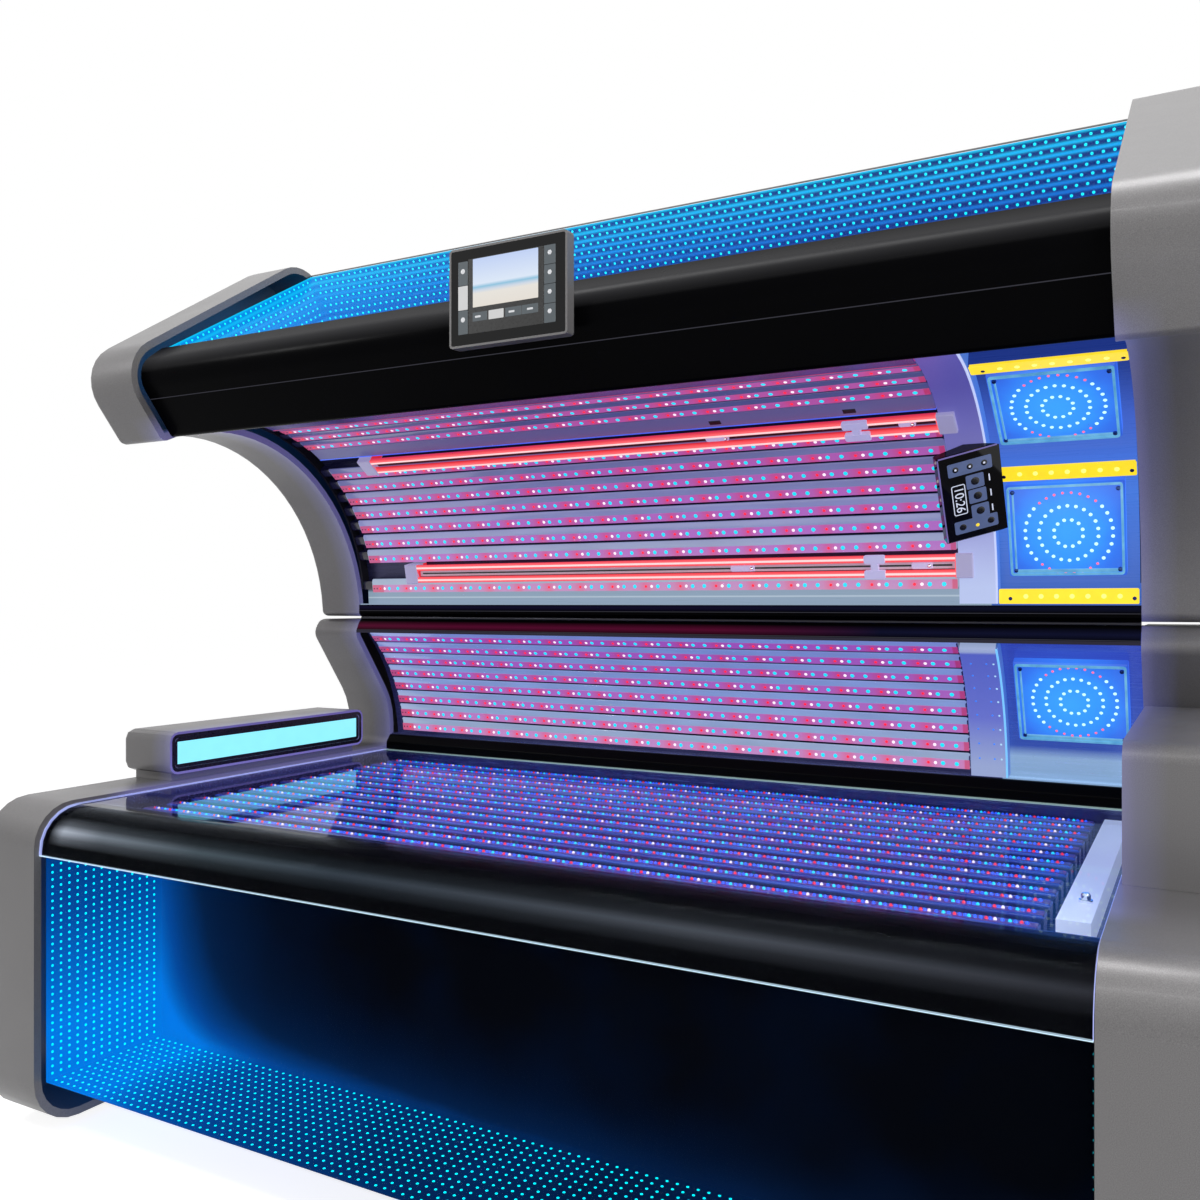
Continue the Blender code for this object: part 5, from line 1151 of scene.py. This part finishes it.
# Screens
def screens():
    """Plain controls on the inner panel: bars, buttons and the time."""
    slate = glowing("panel_button_slate", (0.075, 0.105, 0.22), power=1.0, spread=0.1, scale=60)
    white = glowing("panel_line_white", (0.62, 0.66, 0.80), power=1.0, spread=0.1, scale=60)
    lilac = glowing("panel_edge_lilac", (0.16, 0.13, 0.36), power=1.0, spread=0.2, scale=30)
    ink = plastic("panel_icon_black", (0.004, 0.004, 0.006), low=0.2, high=0.3, scale=300, strength=0.02)
    yellow = glowing("screen_yellow", (1.0, 0.75, 0.05), power=1.0)
    lift, top_row = 0.0006, (-0.027, 0.001, 0.029)
    _, _, up, inward = (v[0] for v in on_arc(LAMP_ARC, 1.0, PANEL_ANGLE))
    out = math.cos(PANEL_TURN) * inward + math.sin(PANEL_TURN) * X
    panel = on_face("inner_control_panel", out, up)
    buttons = ((0.008, 0.029), (0.010, -0.0035), (0.012, -0.0375))
    bars = [plates(moved(panel, 0.001, (-0.065, 0.063)), width=0.086, height=0.0285, radius=0.003, lift=lift)]
    bars += [
        plates(moved(panel, *spot), width=0.035, height=0.030, radius=0.003, lift=lift) for spot in buttons
    ]
    piece("panel_tiles", bars, "canopy", slate)
    icons = [
        domes(moved(panel, top_row, 0.063, lift), radius=0.0070, lift=0.0004, sides=14),
        domes(moved(panel, (-0.026, 0.030), -0.065, lift), radius=0.0080, lift=0.0004, sides=14),
    ]
    icons += [domes(moved(panel, *spot, lift), radius=0.0095, lift=0.0004, sides=14) for spot in buttons]
    piece("panel_icons", icons, "canopy", ink)
    clock_place = tuple(v[0] for v in moved(panel, -0.026, -0.0035))
    marks = [
        plates(
            moved(panel, 0.036, 0.029 - 0.0333 * np.arange(3)), width=0.0025, height=0.015, radius=0.001,
            lift=lift,
        ),
        plates(
            moved(panel, top_row, 0.063, lift + 0.0004), width=0.004, height=0.004, radius=0.001, lift=0.0003,
            edge=0.0001,
        ),
        frame_loop(clock_place, size=(0.027, 0.066), border=0.0016, radius=0.004, low=-0.0002, high=lift),
    ]
    piece("panel_marks", marks, "canopy", white)
    spot = domes(moved(panel, 0.003, -0.068, lift), radius=0.0042, lift=0.0006, sides=12)
    piece("panel_dot", spot, "canopy", yellow)
    wording(
        "panel_clock", "10:26", rolled(clock_place, -90.0), size=0.0255, body="canopy", finish=white,
    )
    edges = [
        plates(moved(panel, -0.0590), width=0.0030, height=0.184, radius=0.001, lift=lift),
        plates(moved(panel, 0.0, 0.0935), width=0.115, height=0.0030, radius=0.001, lift=lift),
    ]
    piece("panel_edges", edges, "canopy", lilac)


def display_screen():
    """Plain screen of the display: a picture field, a bar of tiles on each side and buttons below."""
    slate = glowing("display_tile_slate", (0.062, 0.076, 0.086), power=1.0, spread=0.05, scale=60)
    pale = glowing("display_tile_pale", (0.50, 0.50, 0.50), power=1.0, spread=0.03, scale=60)
    shade = plastic("display_shade", (0.012, 0.012, 0.012), low=0.25, high=0.35, scale=200, strength=0.02)
    mark = glowing("display_mark_white", (0.55, 0.56, 0.58), power=1.0, spread=0.05, scale=60)
    picture = Finish("display_picture", colour=(0.02, 0.03, 0.04), rough=0.2, power=1.0)
    picture.to("glow", picture.fade(
        Z, 1.606, 1.700, (0.0, (0.72, 0.66, 0.58)), (0.34, (0.74, 0.70, 0.64)),
        (0.40, (0.55, 0.62, 0.72)), (0.46, (0.22, 0.48, 0.66)), (0.52, (0.66, 0.74, 0.86)),
        (1.0, (0.48, 0.58, 0.84)),
    ))
    face = on_face("display_glass", -Y, Z)
    low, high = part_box("display_glass")
    width, height = high.x - low.x, high.z - low.z

    def at(across, down, lift):
        """Places at shares of the glass from its left and its top."""
        return moved(face, width * (np.array(across) - 0.5), height * (0.5 - np.array(down)), lift)

    def laid(left, right, top, foot, lift, across=1, up=1):
        """Tiles between shares of the glass, in equal columns and rows with a small gap."""
        columns = left + (right - left) * (np.arange(across) + 0.5) / across
        rows = top + (foot - top) * (np.arange(up) + 0.5) / up
        size = (width * (right - left) / across - 0.0010, height * (foot - top) / up - 0.0010)
        return plates(at(columns, rows, lift - 0.0004), *size, radius=0.0008, lift=0.0004, edge=0.0002)

    bar, row = (0.0626, 0.1527), (0.671, 0.771, 0.0008)
    piece("display_shade", laid(0.155, 0.820, 0.10, 0.895, 0.0004), "canopy", shade)
    tiles = [
        laid(*bar, 0.116, 0.374, 0.0006), laid(*bar, 0.633, 0.890, 0.0006),
        laid(0.822, 0.9214, 0.101, 0.893, 0.0006, 1, 4), laid(0.195, 0.328, *row),
        laid(0.487, 0.775, *row, 2),
    ]
    piece("display_tiles", tiles, "canopy", slate)
    lit = [laid(*bar, 0.374, 0.633, 0.0006), laid(0.339, 0.476, *row)]
    piece("display_pale_tiles", lit, "canopy", pale)
    piece("display_picture", laid(0.197, 0.776, 0.108, 0.622, 0.0008), "canopy", picture)
    marks = [
        domes(at(0.1077, (0.222, 0.733), 0.0006), radius=0.0052, lift=0.0003, sides=12),
        domes(at(0.8717, (0.180, 0.380, 0.577, 0.775), 0.0006), radius=0.0050, lift=0.0003, sides=6),
        plates(
            at((0.245, 0.545, 0.705), 0.721, 0.0008), width=0.012, height=0.0035, radius=0.001, lift=0.0003,
            edge=0.0001,
        ),
    ]
    piece("display_marks", marks, "canopy", mark)


def sign():
    """Around the sign's lens: a black recess and a lilac-lit rim."""
    black = plastic("sign_recess_black", (0.006, 0.006, 0.012), low=0.25, high=0.35, scale=300, strength=0.05)
    lilac = Finish("sign_rim_lilac", colour=(0.22, 0.21, 0.32), rough=0.3, power=1.0)
    lilac.to("glow", lilac.fade(Z, 0.68, 0.78, (0.0, (0.09, 0.08, 0.34)), (1.0, (0.04, 0.03, 0.20))))
    lens = on_face("sign_lens", X, Z)
    low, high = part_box("sign_lens")
    size = np.array((high.y - low.y, high.z - low.z))
    around = tuple(v[0] for v in moved(lens, out=0.0037))
    recess = [
        frame_loop(lens, size=size, border=0.0085, radius=0.010, low=-0.0004, high=0.0016),
        frame_loop(around, size=size + 0.017, border=0.0085, radius=0.016, low=-0.0004, high=0.0004),
    ]
    piece("sign_recess", recess, "base", black)
    rim = frame_loop(around, size=size + 0.0278, border=0.0052, radius=0.021, low=-0.0004, high=0.0005)
    piece("sign_rim", rim, "base", lilac.unlit())


# Trim
def trim():
    """Gaskets beside the lamps, and the black edge along the top of the canopy's sloped panel."""
    black = plastic("gasket_black", (0.010, 0.010, 0.012), low=0.45, high=0.6, scale=400, strength=0.15)
    turn = np.linspace(6.0, 104.0, 50)
    spans = ((-0.9733, -0.9672), (0.9727, 0.9735))
    bands = [swept_arc(LAMP_ARC, (0.4470, 0.4735), turn, span) for span in spans]
    piece("canopy_gaskets", bands, "canopy", black)
    edge = (GLASS_EDGE + (GLASS_FAR - 0.008) * GLASS_SLOPE, X, GLASS_SLOPE, -GLASS_UNDER)
    strip = plates(
        moved(edge, out=-0.0002), width=1.942, height=0.013, radius=0.002, lift=0.0008, edge=0.0004,
    )
    piece("canopy_panel_edge", strip, "canopy", black)


def rear_details():
    """At the back: dark filters behind the air slots, a row of screws and a blank rating plate."""
    filters = plastic("filter_mesh_dark", (0.010, 0.010, 0.012), low=0.6, high=0.8, scale=900, strength=0.5)
    steel = metal(
        "cover_screw_steel", (0.32, 0.32, 0.34), low=0.25, high=0.35, scale=500, stretch=(1, 1, 1),
        strength=0.05,
    )
    plate = plastic("rating_plate_pale", (0.55, 0.56, 0.58), low=0.35, high=0.45, scale=300, strength=0.03)
    back = (np.array(BACK_MIDDLE), -X, Z, Y)
    behind = plates(
        moved(back, (-0.487, 0.487), 0.0, -0.0075), width=0.372, height=0.214, radius=0.004, lift=0.0020,
    )
    piece("air_slot_filters", behind, "base", filters)
    heads = moved(back, np.linspace(-0.93, 0.93, 7), (-0.130, 0.352))
    piece(
        "rear_cover_screws", domes(heads, radius=0.0060, lift=0.0022, sides=12, sink=0.0010), "base", steel,
    )
    label = plates(
        moved(back, -0.850, 0.050), width=0.110, height=0.060, radius=0.004, lift=0.0006, edge=0.0003,
    )
    piece("rating_plate", label, "base", plate)


def main():
    """The whole scene."""
    bpy.context.scene.view_settings.view_transform = "Standard"
    camera()
    white_room(ROOM_LEVEL)
    for name, (place, aim, size, power) in LIGHTS.items():
        soft_light(name, place, aim, size, power)
    floor(ROOM_LEVEL)
    dress()
    lamps()
    red_pairs()
    upper_band()
    panel_dots()
    face_lights()
    amber_bars()
    side_divider_lights()
    screens()
    display_screen()
    sign()
    trim()
    rear_details()


main()
